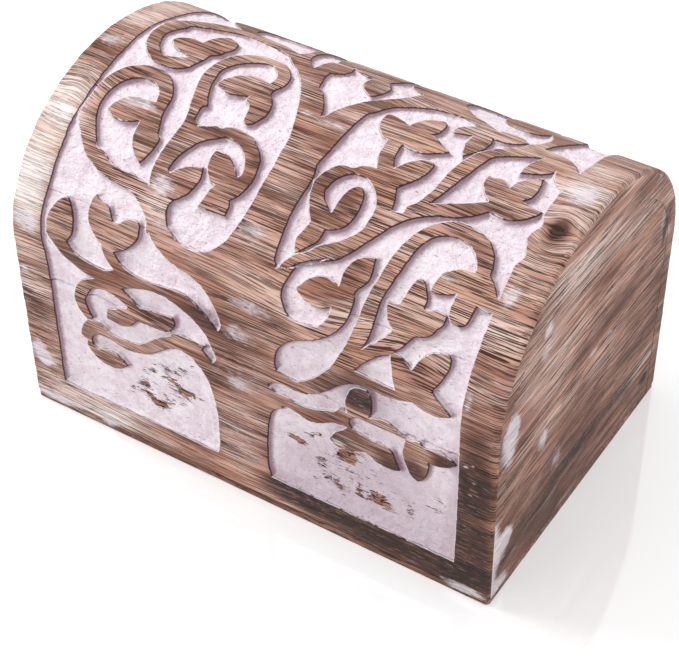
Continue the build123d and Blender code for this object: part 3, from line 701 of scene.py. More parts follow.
def board_depth(x, around, carve, body, start, sizes, mortises):
    """Depth of a board's outside below the plain one, and the part of it that is the rounded end.

    It is the carving, or the uneven rounding at the ends of the box if that is deeper, and the
    rounding along the board's long edges on top.  A mortise has its own depth.
    """
    radius = sizes.edge_radius / MM
    depth = relief_depth(x + HALF_LENGTH, around, carve, sizes)
    side = np.sign(x)
    uneven = 1 + sum(
        amount * value_noise(around / long, side * place, seed) for amount, long, place, seed in END_WEAR)
    rubbed = np.exp(-(((around - RUBBED_ROUND) / RUBBED_WIDE) ** 2)) * (x > 0)
    wear = np.clip(uneven, LEAST_WORN, MOST_WORN) * (1 + RUBBED_MORE * rubbed)
    rounded = round_over((HALF_LENGTH - np.abs(x)) / wear, radius)
    depth = np.maximum(depth, rounded + BARE_EDGE)
    seam = SEAM_EDGE + SEAM_WEAR * value_noise(x / SEAM_WEAR_LENGTH, around * 0, 10)
    open_edge = start in (PLATE_TOP, LID_FOOT) or body == "box"
    to_edge = np.minimum(around - around[0, 0], around[0, -1] - around)
    depth = depth + round_over(to_edge, seam if open_edge else GLUE_EDGE)
    for low_x, high_x, low_r, high_r, deep in mortises:
        cut = (x > low_x) & (x < high_x) & (around > low_r) & (around < high_r)
        depth = np.where(cut, deep, depth)
    return depth, rounded


def shell_board(name, start, end, body, sizes, material, mortises=()):
    """One board of the box's long sides or dome, as a closed shell.

    The outside is a grid over (across, around): the plain outside less its depth, which is the carving,
    the worn edges and the mortises.  The inside is one strip per row, and the four edges close it.
    Mortises are (across low, across high, round low, round high, depth).
    """
    cell = sizes.cell / MM
    lips = (-MORTISE_LIP, MORTISE_LIP)
    extra_rows = [place + lip for m in mortises for place in m[2:4] for lip in lips]
    extra_cols = [place + lip for m in mortises for place in m[:2] for lip in lips]
    u = np.unique(np.round(np.concatenate([columns(cell, sizes.edge_radius / MM), extra_cols]), 4))
    v = rows(start, end, cell, [row for row in extra_rows if start < row < end])
    x, around = np.meshgrid(u, v, indexing="ij")
    across = x + HALF_LENGTH
    carve = carving_distance(across, around)
    lee = lee_side(across, around, carve)
    if not mortises:
        across, around, carve = snap_to_lines(across, around, carve, cell, sizes.wall_width / MM)
    x = across - HALF_LENGTH
    depth, rounded = board_depth(x, around, carve, body, start, sizes, mortises)
    y, z, out_y, out_z = outside(around)
    points = np.stack([x, y - out_y * depth, z - out_z * depth], axis=-1).reshape(-1, 3)
    in_y, in_z = inside_wall(y[0], z[0])
    count = len(v)
    left = np.stack([np.full(count, -HALF_LENGTH), in_y, in_z], axis=-1)
    points = np.concatenate([points, left, left * [-1, 1, 1]])

    index = np.arange(x.size).reshape(x.shape)
    left_row = x.size + np.arange(count)
    right_row = left_row + count
    walls = [grid_quads(np.stack(pair)) for pair in (
        (right_row, left_row),                  # the inside
        (left_row, index[0]),                   # the left end
        (index[-1], right_row),                 # the right end
    )]
    faces = np.concatenate([grid_quads(index), *walls]).tolist()
    first_end = (len(u) - 1) * (count - 1) + (count - 1)
    last_end = len(faces)
    faces.append([int(i) for i in index[:, 0][::-1]] + [int(left_row[0]), int(right_row[0])])
    faces.append([int(i) for i in index[:, -1]] + [int(right_row[-1]), int(left_row[-1])])

    through = np.hypot(y[0] - in_y, z[0] - in_z)
    inner = np.stack([x[0, 0] + 0 * through, around[0], through], axis=-1)
    into = depth - BENT_WITH_END * rounded
    grain = np.stack([x, streak_place(across, around), into], axis=-1).reshape(-1, 3)
    pad = np.zeros(2 * count)
    values = {
        "grain": np.concatenate([grain, inner, inner * [-1, 1, 1]]) * MM,
        "carve": np.concatenate([carve.ravel(), pad - FAR]),
        "lee": np.concatenate([lee.ravel(), pad]),
    }
    for key, table in (("tone_and_light", TONE_AND_LIGHT_MARKS), ("paint", PAINT_SMEARS), ("bare", BARE_PATCHES)):
        values[key] = np.concatenate([marks(across, around, table).ravel(), pad])
    end_values = end_grain_values(points, np.sign(points[:, 0]))
    return new_mesh(name, points, faces, values, material, body,
                    [name.rsplit("_", 1)[0]], (first_end, last_end), end_values)


def end_grain_values(points, side):
    """Attributes of the two ends of the box, where the grain runs level from front to back."""
    y, z = points[:, 1], points[:, 2]
    toward = np.where(side > 0, y, -y)
    zero = np.zeros(len(points))
    return {
        "grain": np.stack([y, z + END_GRAIN_LIFT, points[:, 0]], -1) * MM,
        "carve": zero - FAR,
        "lee": zero,
        "tone_and_light": marks(toward, z, END_TONES) + END_TONE,
        "paint": marks(toward, z, END_PAINT),
        "bare": zero,
    }


PANEL_EDGE = 0.12         # rounding of the end boards' rims
LOWEST_REACH = 1e-4       # keeps the topmost row of an arched end from closing to a point


def end_panel(name, node, side, body, levels, sizes, material):
    """Board that closes one end: a grid over (across the end, up it), with a flat inner face.

    levels are heights; at each, the board reaches as far as the inner wall of the shell, which is
    the root of one less the square of the height up the dome.
    """
    levels = np.asarray(levels)
    up = np.clip(levels - SPRING, 0, INNER_RISE) / INNER_RISE
    reach = INNER_Y * np.sqrt(np.maximum(1 - up**2, LOWEST_REACH))
    count = int(INNER_Y / (sizes.cell / MM))
    y = np.linspace(-1, 1, count + 1)[:, None] * reach[None, :]
    z = np.broadcast_to(levels[None, :], y.shape)
    rough = unevenness(y, z, END_GRAIN)
    to_rim = np.minimum(reach[None, :] - np.abs(y), z - levels[0])
    outer = np.stack([side * (HALF_LENGTH - rough - round_over(to_rim, PANEL_EDGE)), y, z], axis=-1)
    inner = np.stack([np.full_like(y, side * INNER_X), y, z], axis=-1)
    index = np.arange(y.size).reshape(y.shape)
    back = index + y.size
    loop = np.concatenate([index[:, 0], index[-1, 1:], index[-2::-1, -1], index[0, -2:0:-1]])
    ring = loop + y.size
    rim = np.stack([loop, ring, np.roll(ring, -1), np.roll(loop, -1)], axis=-1)
    parts = [grid_quads(index)[:, ::side], grid_quads(back)[:, ::-side], rim[:, ::side]]
    faces = np.concatenate(parts).tolist()
    points = np.concatenate([outer.reshape(-1, 3), inner.reshape(-1, 3)])
    values = end_grain_values(points, np.full(len(points), float(side)))
    values["paint"][y.size:] = 0
    return new_mesh(name, points, faces, values, material, body, [node])


SLAB_STEP = 1.5           # spacing of points along the rim of a slab
SLAB_LIP = 4.0            # ring drawn this far in from the rim
SLAB_GRAIN = [0, 0.7, 0]  # takes the slab's grain away from that of the other boards, in metres
FOOT_SMEARS = 5.0         # smears of limewash below this height run on over the base plate


def slab_rim(half_x, half_y, corner):
    """Rounded rectangle: a quarter circle at each corner, with points close together between them."""
    quarter = np.linspace(0, math.pi / 2, 7)
    arcs = []
    for turn, (side_x, side_y) in enumerate([(1, 1), (-1, 1), (-1, -1), (1, -1)]):
        angle = quarter + turn * math.pi / 2
        x = side_x * (half_x - corner) + corner * np.cos(angle)
        y = side_y * (half_y - corner) + corner * np.sin(angle)
        arcs.append(np.stack([x, y], axis=-1))
    rim = np.concatenate(arcs)
    pieces = []
    for here, there in zip(rim, np.roll(rim, -1, axis=0)):
        count = max(1, int(np.hypot(*(there - here)) / SLAB_STEP))
        pieces.append(here + (there - here) * (np.arange(count) / count)[:, None])
    return np.concatenate(pieces)


def slab(name, node, half_x, half_y, low, high, corner, body, material, edge, lumps=0.0):
    """Flat slab: a rounded rectangle scaled in from its rim, carried up a rounded edge profile."""
    rim = slab_rim(half_x, half_y, corner)
    middle = (low + high) / 2
    inward = [half_y, half_y * 0.66, half_y * 0.33, SLAB_LIP, edge]
    soft = edge * 0.3
    profile = [(gap, low) for gap in inward]
    profile += [(soft, low + soft), (0, low + edge), (0, middle), (0, high - edge), (soft, high - soft)]
    profile += [(gap, high) for gap in inward[::-1]]
    rings = []
    for gap, z in profile:
        scale = [(half_x - gap) / half_x, (half_y - gap) / half_y]
        rings.append(np.concatenate([rim * scale, np.full((len(rim), 1), z)], axis=-1))
    points = np.stack(rings, axis=1)
    if lumps:
        top = points[..., 2] > middle
        points[..., 2] -= top * lumps * (1 + value_noise(points[..., 0] / 5, points[..., 1] / 5, 31)) / 2
    index = np.arange(points[..., 0].size).reshape(points.shape[:2])
    faces = grid_quads(np.concatenate([index, index[:1]])).tolist()
    flat = points.reshape(-1, 3)
    nothing = np.zeros(len(flat))
    values = {
        "grain": flat * MM + SLAB_GRAIN,
        "carve": nothing - FAR,
        "lee": nothing,
        "tone_and_light": nothing - 0.5,
        "paint": marks(flat[:, 0] + HALF_LENGTH, flat[:, 2], [s for s in PAINT_SMEARS if s[1] < FOOT_SMEARS]),
        "bare": nothing,
    }
    piece = new_mesh(name, flat, faces, values, material, body, [node])
    close_poles(piece.data)
    return piece


def close_poles(mesh):
    """Merge the points that meet where a ring has shrunk to a line or to a point."""
    shape = bmesh.new()
    shape.from_mesh(mesh)
    bmesh.ops.remove_doubles(shape, verts=shape.verts, dist=1e-6)
    shape.to_mesh(mesh)
    shape.free()


# ---- materials -------------------------------------------------------------------------
def linear(colour):
    """sRGB hex to linear red, green, blue and alpha."""
    parts = [int(colour[i:i + 2], 16) / 255 for i in (1, 3, 5)]
    return tuple(p / 12.92 if p <= 0.04045 else ((p + 0.055) / 1.055) ** 2.4 for p in parts) + (1.0,)


def add(tree, kind, inputs=None, out=0, **settings):
    """Add a node, set its properties, fill its sockets with values or links, and give one output."""
    node = tree.nodes.new("ShaderNode" + kind)
    for key, value in settings.items():
        setattr(node, key, value)
    for key, value in (inputs or {}).items():
        socket = node.inputs[key]
        if isinstance(value, bpy.types.NodeSocket):
            tree.links.new(value, socket)
        else:
            socket.default_value = value
    return node.outputs[out] if node.outputs else None


def new_material(name):
    """Empty node material."""
    material = bpy.data.materials.new(name)
    material.use_nodes = True
    material.node_tree.nodes.clear()
    return material, material.node_tree


SOFT = {"interpolation_type": "SMOOTHSTEP"}     # a range that eases in and out: value, from, to
TINTED = {"out": 2, "data_type": "RGBA"}        # two colours mixed: share, first, second
BOTH = {"operation": "MULTIPLY"}                # two fields: full only where both of them are
SHARE_OF = {"operation": "MULTIPLY_ADD"}        # a field, its share, and what they are added to


def weighted_sum(tree, start, *parts):
    """Start plus each field times its share."""
    for field, share in parts:
        start = add(tree, "Math", {0: field, 1: share, 2: start}, **SHARE_OF)
    return start


def coated(tree, colour, coats):
    """Colour with coats laid over it in turn: where each lies, how thick it is, its colour, and
    whether it covers (MIX) or stains (MULTIPLY)."""
    for where, thick, shade, way in coats:
        share = add(tree, "Math", {0: where, 1: thick}, use_clamp=True, **BOTH)
        colour = add(tree, "Mix", {0: share, 6: colour, 7: shade}, blend_type=way, **TINTED)
    return colour


# Patterns of the wood and of its paint: length along the grain and width across it in metres, octaves,
# roughness, place in the noise, and the values that are drawn as 0 and 1 (None: as they come).
# Real vessel lines are 0.1 to 0.2 mm wide; they, the lime in them and the scuffs are drawn about
# 0.4 mm wide, as coarse as they need to be to show.
GRAIN_PATTERNS = {
    "band": (0.080, 0.0050, 3.0, 0.55, 9.0, None),
    "cloud": (0.050, 0.018, 2.0, 0.5, 14.0, None),
    "streak": (0.050, 0.0010, 2.0, 0.5, 5.0, None),
    "honey": (0.070, 0.024, 1.0, 0.5, 33.0, (0.46, 0.62)),
    "patch": (0.035, 0.012, 2.0, 0.55, 30.0, None),
    "lime": (0.026, 0.00042, 1.5, 0.6, 26.0, (0.47, 0.60)),
    "vessel": (0.022, 0.00038, 2.0, 0.5, 2.0, (0.525, 0.562)),
    "dense": (0.040, 0.012, 2.0, 0.5, 44.0, (0.35, 0.6)),
    "scuff": (0.0060, 0.00045, 2.0, 0.6, 54.0, (0.58, 0.66)),
}
PAINT_PATTERNS = {
    "ragged": (0.0024, 0.0024, 4.0, 0.65, 60.0, None),
    "brushed": (0.0060, 0.0007, 3.0, 0.6, 40.0, None),
    "mottle": (0.0060, 0.0052, 4.0, 0.6, 70.0, None),
    "dab": (0.0011, 0.0009, 2.0, 0.6, 80.0, None),
    "pit": (0.0022, 0.0008, 2.0, 0.6, 90.0, (0.67, 0.75)),
    "stroke": (0.0050, 0.00048, 1.0, 0.5, 41.0, None),
    "broken": (0.0045, 0.0045, 3.0, 0.6, 50.0, None),
}


def stretched_noise(tree, place, patterns):
    """Each pattern of a table, as noise stretched along the grain and sharpened to its range."""
    found = {}
    for name, (length, width, octaves, rough, start, span) in patterns.items():
        scale = (1 / length, 1 / width, 1 / width)
        spot = add(tree, "VectorMath", {0: place, 1: scale, 2: (start, 1.7 * start, 0.3 * start)}, **SHARE_OF)
        field = add(tree, "TexNoise", {"Vector": spot, "Scale": 1.0, "Detail": octaves, "Roughness": rough})
        if span:
            field = add(tree, "MapRange", {0: field, 1: span[0], 2: span[1]}, **SOFT)
        found[name] = field
    return found


def stained_wood(tree, grain, tone_and_light, smeared, colours):
    """Colour of the standing wood, and the two patterns that also lift or sink it.

    Brown bands and streaks, yellower patches, lime in the open grain, dark vessel lines that are
    denser in some bands, boards stained almost black and scuffed, and smears of limewash.  The tone
    also carries painted light and shade, so the stain is also painted shade low on the right.
    """
    # the grain wanders sideways by a few millimetres over a hand's width
    wave = add(tree, "TexNoise", {"Vector": grain, "Scale": 9.0, "Detail": 0.5}, out="Color")
    push = add(tree, "VectorMath", {0: wave, 1: (-0.5, -0.5, -0.5)}, operation="ADD")
    wavy = add(tree, "VectorMath", {0: push, 1: (0.0, 0.012, 0.003), 2: grain}, **SHARE_OF)
    seen = stretched_noise(tree, wavy, GRAIN_PATTERNS)

    value = weighted_sum(
        tree, 0.0, (seen["band"], 0.35), (seen["cloud"], 0.45), (seen["streak"], 0.15), (tone_and_light, 0.13))
    wood = add(tree, "ValToRGB", {0: value}, out="Color")
    stops = [
        (0.28, colours.wood_darkest),
        (0.385, colours.wood_dark),
        (0.49, colours.wood_middle),
        (0.60, colours.wood_pale),
        (0.71, colours.wood_palest),
    ]
    ramp = wood.node.color_ramp.elements
    while len(ramp) < len(stops):
        ramp.new(0.5)
    for element, (place, colour) in zip(ramp, stops):
        element.position = place
        element.color = tuple(colour)

    patchy = add(tree, "Math", {0: tone_and_light, 1: 0.10, 2: seen["patch"]}, **SHARE_OF)
    patchy = add(tree, "MapRange", {0: patchy, 1: 0.44, 2: 0.62}, **SOFT)
    limed = add(tree, "Math", {0: seen["lime"], 1: patchy}, **BOTH)
    strength = weighted_sum(tree, 0.74, (seen["dense"], 0.30), (tone_and_light, -0.30))
    # dark stain where the tone is low: dark boards, and painted shade low on the right
    dark_board_and_shade = add(tree, "MapRange", {0: tone_and_light, 1: -0.25, 2: -0.95}, **SOFT)
    scuffed = add(tree, "Math", {0: seen["scuff"], 1: dark_board_and_shade}, **BOTH)
    wood = coated(tree, wood, [
        (seen["honey"], 0.34, colours.honey, "MULTIPLY"),
        (limed, 0.40, colours.lime, "MIX"),
        (seen["vessel"], strength, colours.pore, "MIX"),
        (dark_board_and_shade, 0.80, colours.stain_and_shade, "MULTIPLY"),
        (scuffed, 0.55, colours.wood_middle, "MIX"),
        (smeared, 0.85, colours.smear, "MIX"),
    ])
    return wood, seen["streak"], seen["vessel"]


def brushed_limewash(tree, seen, vessel, scratch, carve, lee, tone_and_light, bare, colours):
    """Colour of the painted ground, and where the brush missed it.

    Pink mottled with a thinner shade, small pits, greyer where the tone is low, which is dark boards
    and painted shade low on the right, mauve painted shade on the lower walls that lie in the lee of
    the light, and raw wood in thin strokes and scraped patches.
    """
    mottled = add(tree, "MapRange", {0: seen["mottle"], 1: 0.38, 2: 0.62}, **SOFT)
    coat = add(tree, "Mix", {0: mottled, 6: colours.limewash_shade, 7: colours.limewash}, **TINTED)
    # greyer where the tone is low: dark boards, and painted shade low on the right
    dull = add(tree, "MapRange", {0: tone_and_light, 1: -0.05, 2: -0.8}, **SOFT)
    low = add(tree, "Math", {0: seen["dab"], 1: 0.8, 2: carve}, **SHARE_OF)
    low = add(tree, "MapRange", {0: low, 1: 2.5, 2: 0.6}, **SOFT)
    # painted shade: mauve on the lower walls that lie in the lee of the light
    lee_shade = add(tree, "MapRange", {0: lee, 1: -0.15, 2: 0.75}, **SOFT)
    lee_shade = add(tree, "Math", {0: low, 1: lee_shade}, **BOTH)

    missed = weighted_sum(tree, seen["stroke"], (bare, 0.235), (seen["ragged"], 0.30))
    missed = add(tree, "MapRange", {0: missed, 1: 0.885, 2: 0.915}, **SOFT)
    thin = add(tree, "MapRange", {0: bare, 1: 0.02, 2: 0.2}, **SOFT)
    missed = add(tree, "Math", {0: missed, 1: thin}, **BOTH)
    scraped = add(tree, "Math", {0: scratch, 1: 0.6, 2: bare}, **SHARE_OF)
    scraped = add(tree, "MapRange", {0: scraped, 1: 1.0, 2: 1.15}, **SOFT)
    missed = add(tree, "Math", {0: missed, 1: scraped}, operation="MAXIMUM")
    fibre = add(tree, "Math", {0: scraped, 1: 0.06, 2: seen["brushed"]}, **SHARE_OF)
    fibre = add(tree, "MapRange", {0: fibre, 1: 0.47, 2: 0.62}, **SOFT)
    raw = add(tree, "Mix", {0: fibre, 6: colours.pore, 7: colours.wood_middle}, **TINTED)
    raw = coated(tree, raw, [(vessel, 0.7, colours.pore, "MIX")])
    coat = coated(tree, coat, [
        (seen["pit"], 0.55, colours.wall_shade_and_pits, "MIX"),
        (dull, 0.55, colours.limewash_grey_and_shade, "MIX"),
        (lee_shade, 0.80, colours.wall_shade_and_pits, "MIX"),
        (missed, 1.0, raw, "MIX"),
    ])
    return coat, missed


def edge_line(tree, carve, centre, inner, outer, broken, start, full):
    """Broken line along the top of a cut: full within one distance of its centre, gone at another,
    and only where the breaking pattern is high."""
    off = add(tree, "Math", {0: carve, 1: centre}, operation="ADD")
    off = add(tree, "Math", {0: off}, operation="ABSOLUTE")
    line = add(tree, "MapRange", {0: off, 1: outer, 2: inner}, **SOFT)
    there = add(tree, "MapRange", {0: broken, 1: start, 2: full}, **SOFT)
    return add(tree, "Math", {0: line, 1: there}, **BOTH)


def limed_mango_wood(colours):
    """Mango wood, sanded, stained brown and limed, then brushed with thin pink limewash in the cuts.

    The eye sees fine dark streaks along a warm grain, cream patches where the lime stayed in the pores,
    boards of different tone with painted light and shade over them, pale pink ground with mauve
    painted shade on the walls in the lee of the light, a painted shade line and a painted highlight
    rim along the tops of the cuts, and thin bare strokes where the brush missed.  Its coordinates are
    the board's own: along the grain, across it, and into it, in metres.
    """
    material, tree = new_material("limed mango wood and pink limewash")
    grain = add(tree, "Attribute", out="Vector", attribute_name="grain")
    names = ("carve", "lee", "tone_and_light", "paint", "bare")
    carve, lee, tone_and_light, paint, bare = [add(tree, "Attribute", out="Fac", attribute_name=name) for name in names]
    seen = stretched_noise(tree, grain, PAINT_PATTERNS)
    scratch = weighted_sum(tree, -1.2, (seen["ragged"], 0.9), (seen["brushed"], 1.5))
    smeared = add(tree, "Math", {0: paint, 1: scratch}, operation="ADD")
    smeared = add(tree, "MapRange", {0: smeared, 1: 0.20, 2: 0.95}, **SOFT)
    wood, streak, vessel = stained_wood(tree, grain, tone_and_light, smeared, colours)
    coat, missed = brushed_limewash(tree, seen, vessel, scratch, carve, lee, tone_and_light, bare, colours)

    in_cut = add(tree, "MapRange", {0: carve, 1: -0.04, 2: 0.10}, **SOFT)
    # painted shade: a broken dark line along the top of a cut, on the side in the lee of the light
    shaded_side = add(tree, "Math", {0: lee, 1: 0.22, 2: seen["broken"]}, **SHARE_OF)
    # painted highlight: a broken pale rim along the top of a cut, on the side facing the light
    lit_side = add(tree, "Math", {0: lee, 1: -0.30, 2: seen["broken"]}, **SHARE_OF)
    colour = coated(tree, wood, [
        (in_cut, 1.0, coat, "MIX"),
        (edge_line(tree, carve, 0.02, 0.08, 0.30, shaded_side, 0.36, 0.58), 0.9, colours.lee_edge_shade, "MIX"),
        (edge_line(tree, carve, 0.10, 0.10, 0.26, lit_side, 0.41, 0.56), 0.85, colours.limewash, "MIX"),
    ])
    rough = add(tree, "Mix", {0: in_cut, 2: 0.62, 3: 0.88})
    wood_height = weighted_sum(tree, 0.0, (streak, 0.3), (vessel, -0.6))
    coat_height = weighted_sum(
        tree, 0.0, (seen["dab"], 1.9), (seen["mottle"], 1.2), (seen["pit"], -0.8), (missed, -1.0))
    height = add(tree, "Mix", {0: in_cut, 2: wood_height, 3: coat_height})
    height = add(tree, "Math", {0: smeared, 1: 0.3, 2: height}, **SHARE_OF)
    bump = add(tree, "Bump", {"Height": height, "Strength": 1.0, "Distance": 0.0006})
    shader = add(tree, "BsdfPrincipled", {
        "Base Color": colour, "Roughness": rough, "Normal": bump, "IOR": 1.5, "Specular IOR Level": 0.35,
    })
    add(tree, "OutputMaterial", {"Surface": shader})
    return material


def wool_felt(colours):
    """Black-brown wool felt, cut from the roll: dull, slightly mottled, with short loose fibres.

    Real fibres are 0.02 mm thick; they are drawn about 0.7 mm apart, as coarse as they need to show.
    """
    material, tree = new_material("wool felt")
    place = add(tree, "TexCoord", out="Object")
    fibre = add(tree, "TexNoise", {"Vector": place, "Scale": 1400.0, "Detail": 3.0, "Roughness": 0.7})
    clump = add(tree, "TexNoise", {"Vector": place, "Scale": 130.0, "Detail": 2.0})
    clumped = add(tree, "Math", {0: fibre, 1: clump}, **BOTH)
    shade = add(tree, "MapRange", {0: clumped, 1: 0.15, 2: 0.38})
    colour = add(tree, "Mix", {0: shade, 6: colours.felt_dark, 7: colours.felt_pale}, **TINTED)
    bump = add(tree, "Bump", {"Height": fibre, "Strength": 0.8, "Distance": 0.0003})
    shader = add(tree, "BsdfPrincipled", {
        "Base Color": colour, "Roughness": 0.95, "Normal": bump, "Sheen Weight": 0.4, "Sheen Roughness": 0.5,
    })
    add(tree, "OutputMaterial", {"Surface": shader})
    return material


def aged_brass(colours):
    """Rolled brass, tumbled and gone dull: warm metal with brown tarnish in patches about 2 mm across."""
    material, tree = new_material("aged brass")
    place = add(tree, "TexCoord", out="Object")
    patch = add(tree, "TexNoise", {"Vector": place, "Scale": 420.0, "Detail": 4.0, "Roughness": 0.6})
    rub = add(tree, "TexNoise", {"Vector": place, "Scale": 2600.0, "Detail": 2.0})
    dull = add(tree, "MapRange", {0: patch, 1: 0.42, 2: 0.62})
    colour = add(tree, "Mix", {0: dull, 6: colours.brass, 7: colours.tarnish}, **TINTED)
    rough = add(tree, "MapRange", {"Value": patch, "To Min": 0.24, "To Max": 0.5})
    bump = add(tree, "Bump", {"Height": rub, "Strength": 0.25, "Distance": 0.00005})
    shader = add(tree, "BsdfPrincipled", {
        "Base Color": colour, "Metallic": 1.0, "Roughness": rough, "Normal": bump,
    })
    add(tree, "OutputMaterial", {"Surface": shader})
    return material


def studio_floor(colours):
    """Satin white card: almost flat white, with a faint soft reflection."""
    material, tree = new_material("white card floor")
    place = add(tree, "TexCoord", out="Object")
    haze = add(tree, "TexNoise", {"Vector": place, "Scale": 3.0, "Detail": 2.0})
    rough = add(tree, "MapRange", {"Value": haze, "To Min": 0.04, "To Max": 0.07})
    shader = add(tree, "BsdfPrincipled", {
        "Base Color": colours.floor, "Roughness": rough, "Specular IOR Level": 1.0,
        "IOR": 1.7, "Emission Color": colours.floor, "Emission Strength": 0.5,
    })
    add(tree, "OutputMaterial", {"Surface": shader})
    return material


MATERIALS = {}


def material_for(maker):
    """Each material is made once and shared."""
    if maker.__name__ not in MATERIALS:
        MATERIALS[maker.__name__] = maker(bpy.context.scene.jewelry_box_colours)
    return MATERIALS[maker.__name__]


# ---- settings --------------------------------------------------------------------------
def colour_setting(name, text, value):
    """Setting for a colour, given as sRGB hex."""
    return bpy.props.FloatVectorProperty(
        name=name, description=text, subtype="COLOR", size=4, min=0, max=1, default=linear(value))


def length_setting(name, text, value):
    """Setting for a length in metres."""
    return bpy.props.FloatProperty(
        name=name, description=text, default=value, unit="LENGTH", min=0.0, precision=5)


class JewelryBoxSizes(bpy.types.PropertyGroup):
    """Sizes of the carving and of the studio."""
    relief_depth: length_setting("Relief depth", "How deep the ground is cut below the boards", 0.0021)
    wall_width: length_setting("Wall width", "How far the steep part of a carved wall runs", 0.0006)
    edge_radius: length_setting("Edge radius", "Rounding of the box's upright and arched edges", 0.0014)
    cell: length_setting("Grid cell", "Spacing of the grid that carries the relief", 0.0004)
    camera_distance: length_setting("Camera distance", "From the camera to the point it looks at", 0.701)


class JewelryBoxColours(bpy.types.PropertyGroup):
    """Colours of the wood, the paint and the metal."""
    wood_darkest: colour_setting("Darkest wood", "Darkest bands of the wood", "#553125")
    wood_dark: colour_setting("Dark wood", "Dark side of the grain", "#8a5a48")
    wood_middle: colour_setting("Wood", "Usual colour of the stained wood", "#bb8d7c")
    wood_pale: colour_setting("Pale wood", "Pale side of the grain", "#dbbaae")
    wood_palest: colour_setting("Palest wood", "Cream bands and pale boards", "#f4e8e3")
    honey: colour_setting("Honey", "Tints the yellower patches", "#fbe6c4")
    pore: colour_setting("Vessel lines", "Fine dark lines along the grain", "#442318")
    # darkens dark boards, and is painted shade low on the right of the front
    stain_and_shade: colour_setting("Dark stain", "Tints the boards that were stained almost black", "#6a5850")
    lime: colour_setting("Lime", "Lime left in the open grain", "#efe2dc")
    smear: colour_setting("Smeared limewash", "Limewash wiped onto the standing wood", "#ebe0e6")
    # also drawn as a painted highlight: the pale rim along the top of a cut on the side facing the light
    limewash: colour_setting("Limewash", "Pink limewash on the carved ground", "#f9eef4")
    limewash_shade: colour_setting("Thin limewash", "Where the limewash is thin", "#eedde6")
    # painted shade: mauve on the carved walls in the lee of the light, and the colour of the small pits
    wall_shade_and_pits: colour_setting("Limewash on walls", "Mauve where it lies thick on a wall", "#8b6074")
    # grey of the ground where the tone is low: dark boards, and painted shade low on the right
    limewash_grey_and_shade: colour_setting("Dull limewash", "Limewash in the greyer places", "#b39ba8")
    # painted shade: the dark line along the top of a cut on the side in the lee of the light
    lee_edge_shade: colour_setting("Edge", "Dark line along the top of a cut", "#35201a")
    felt_dark: colour_setting("Felt", "Felt in the folds of its fibres", "#171113")
    felt_pale: colour_setting("Felt fibres", "Felt where the light catches it", "#4b3e40")
    brass: colour_setting("Brass", "Clean brass", "#b9975f")
    tarnish: colour_setting("Tarnish", "Brass gone brown", "#7d6041")
    floor: colour_setting("Floor", "The studio floor", "#dcdcdc")


def sizes():
    """The sizes that are set in the scene."""
    return bpy.context.scene.jewelry_box_sizes


# ---- operators -------------------------------------------------------------------------

LEAF_THICK = 0.9          # the hinge leaves are let in by their own thickness
MORTISE_DEEP = 6.25       # leaf width of 6.2 and a little play
MORTISE_PLAY = 0.05       # at each end of a leaf
MORTISE_PAST = 0.2        # the pocket is open at the seam, so it runs a little past it


def mortises(leaf_suffix, seam_round, direction):
    """The pockets for the hinge leaves of one board, from the leaves' own boxes."""
    found = []
    for side in ("left", "right"):
        low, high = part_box(side + leaf_suffix)
        near, far = sorted((seam_round, seam_round + direction * LEAF_THICK))
        left, right = low[0] / MM - MORTISE_PLAY, high[0] / MM + MORTISE_PLAY
        found.append((left, right, near - MORTISE_PAST, far, MORTISE_DEEP))
    return found


class JEWELRYBOX_OT_front_board(bpy.types.Operator):
    """Carved front wall of the body"""
    bl_idname = "jewelry_box.front_board"
    bl_label = "Front board"

    def execute(self, context):
        shell_board("front_board_carved", PLATE_TOP, BODY_TOP, "box", sizes(), material_for(limed_mango_wood))
        return {"FINISHED"}


class JEWELRYBOX_OT_back_board(bpy.types.Operator):
    """Plain back wall of the body, let in for the hinges"""
    bl_idname = "jewelry_box.back_board"
    bl_label = "Back board"

    def execute(self, context):
        start, end = GIRTH - BODY_TOP, GIRTH - PLATE_TOP
        pockets = mortises("_hinge_body_leaf", start, 1)
        shell_board("back_board_plain", start, end, "box", sizes(), material_for(limed_mango_wood), pockets)
        return {"FINISHED"}


class JEWELRYBOX_OT_lid_staves(bpy.types.Operator):
    """Carved staves of the domed lid"""
    bl_idname = "jewelry_box.lid_staves"
    bl_label = "Lid staves"

    def execute(self, context):
        for name, start, end in zip(STAVES, STAVE_JOINTS, STAVE_JOINTS[1:]):
            pockets = mortises("_hinge_lid_leaf", end, -1) if name == "lid_back_stave" else ()
            shell_board(name + "_carved", start, end, "lid", sizes(), material_for(limed_mango_wood), pockets)
        return {"FINISHED"}


END_CELL = 1.6            # the end boards' rows are this much wider apart than the carving's
ARCH_ROWS = 90


class JEWELRYBOX_OT_ends(bpy.types.Operator):
    """End boards of the body and of the lid"""
    bl_idname = "jewelry_box.ends"
    bl_label = "End boards"

    def execute(self, context):
        material = material_for(limed_mango_wood)
        step = END_CELL * sizes().cell / MM
        body_levels = np.linspace(PLATE_TOP, BODY_TOP, int((BODY_TOP - PLATE_TOP) / step))
        straight = np.linspace(LID_FOOT, SPRING, int((SPRING - LID_FOOT) / step))
        turn = np.linspace(0, math.pi / 2, ARCH_ROWS)[1:]
        lid_levels = np.concatenate([straight, SPRING + INNER_RISE * np.sin(turn)])
        for side, word in ((-1, "left"), (1, "right")):
            for node, body, levels in (
                (word + "_end_board", "box", body_levels),
                ("lid_" + word + "_end", "lid", lid_levels),
            ):
                end_panel(node + "_limed", node, side, body, levels, sizes(), material)
        return {"FINISHED"}


PLATE_SHY = 0.2           # the base plate stands back this far from the sides
PLATE_CORNER, PLATE_EDGE = 1.6, 0.5
FELT_CORNER, FELT_EDGE = 0.8, 0.3
FELT_LUMPS = 0.25         # the felt's top sinks this much in places


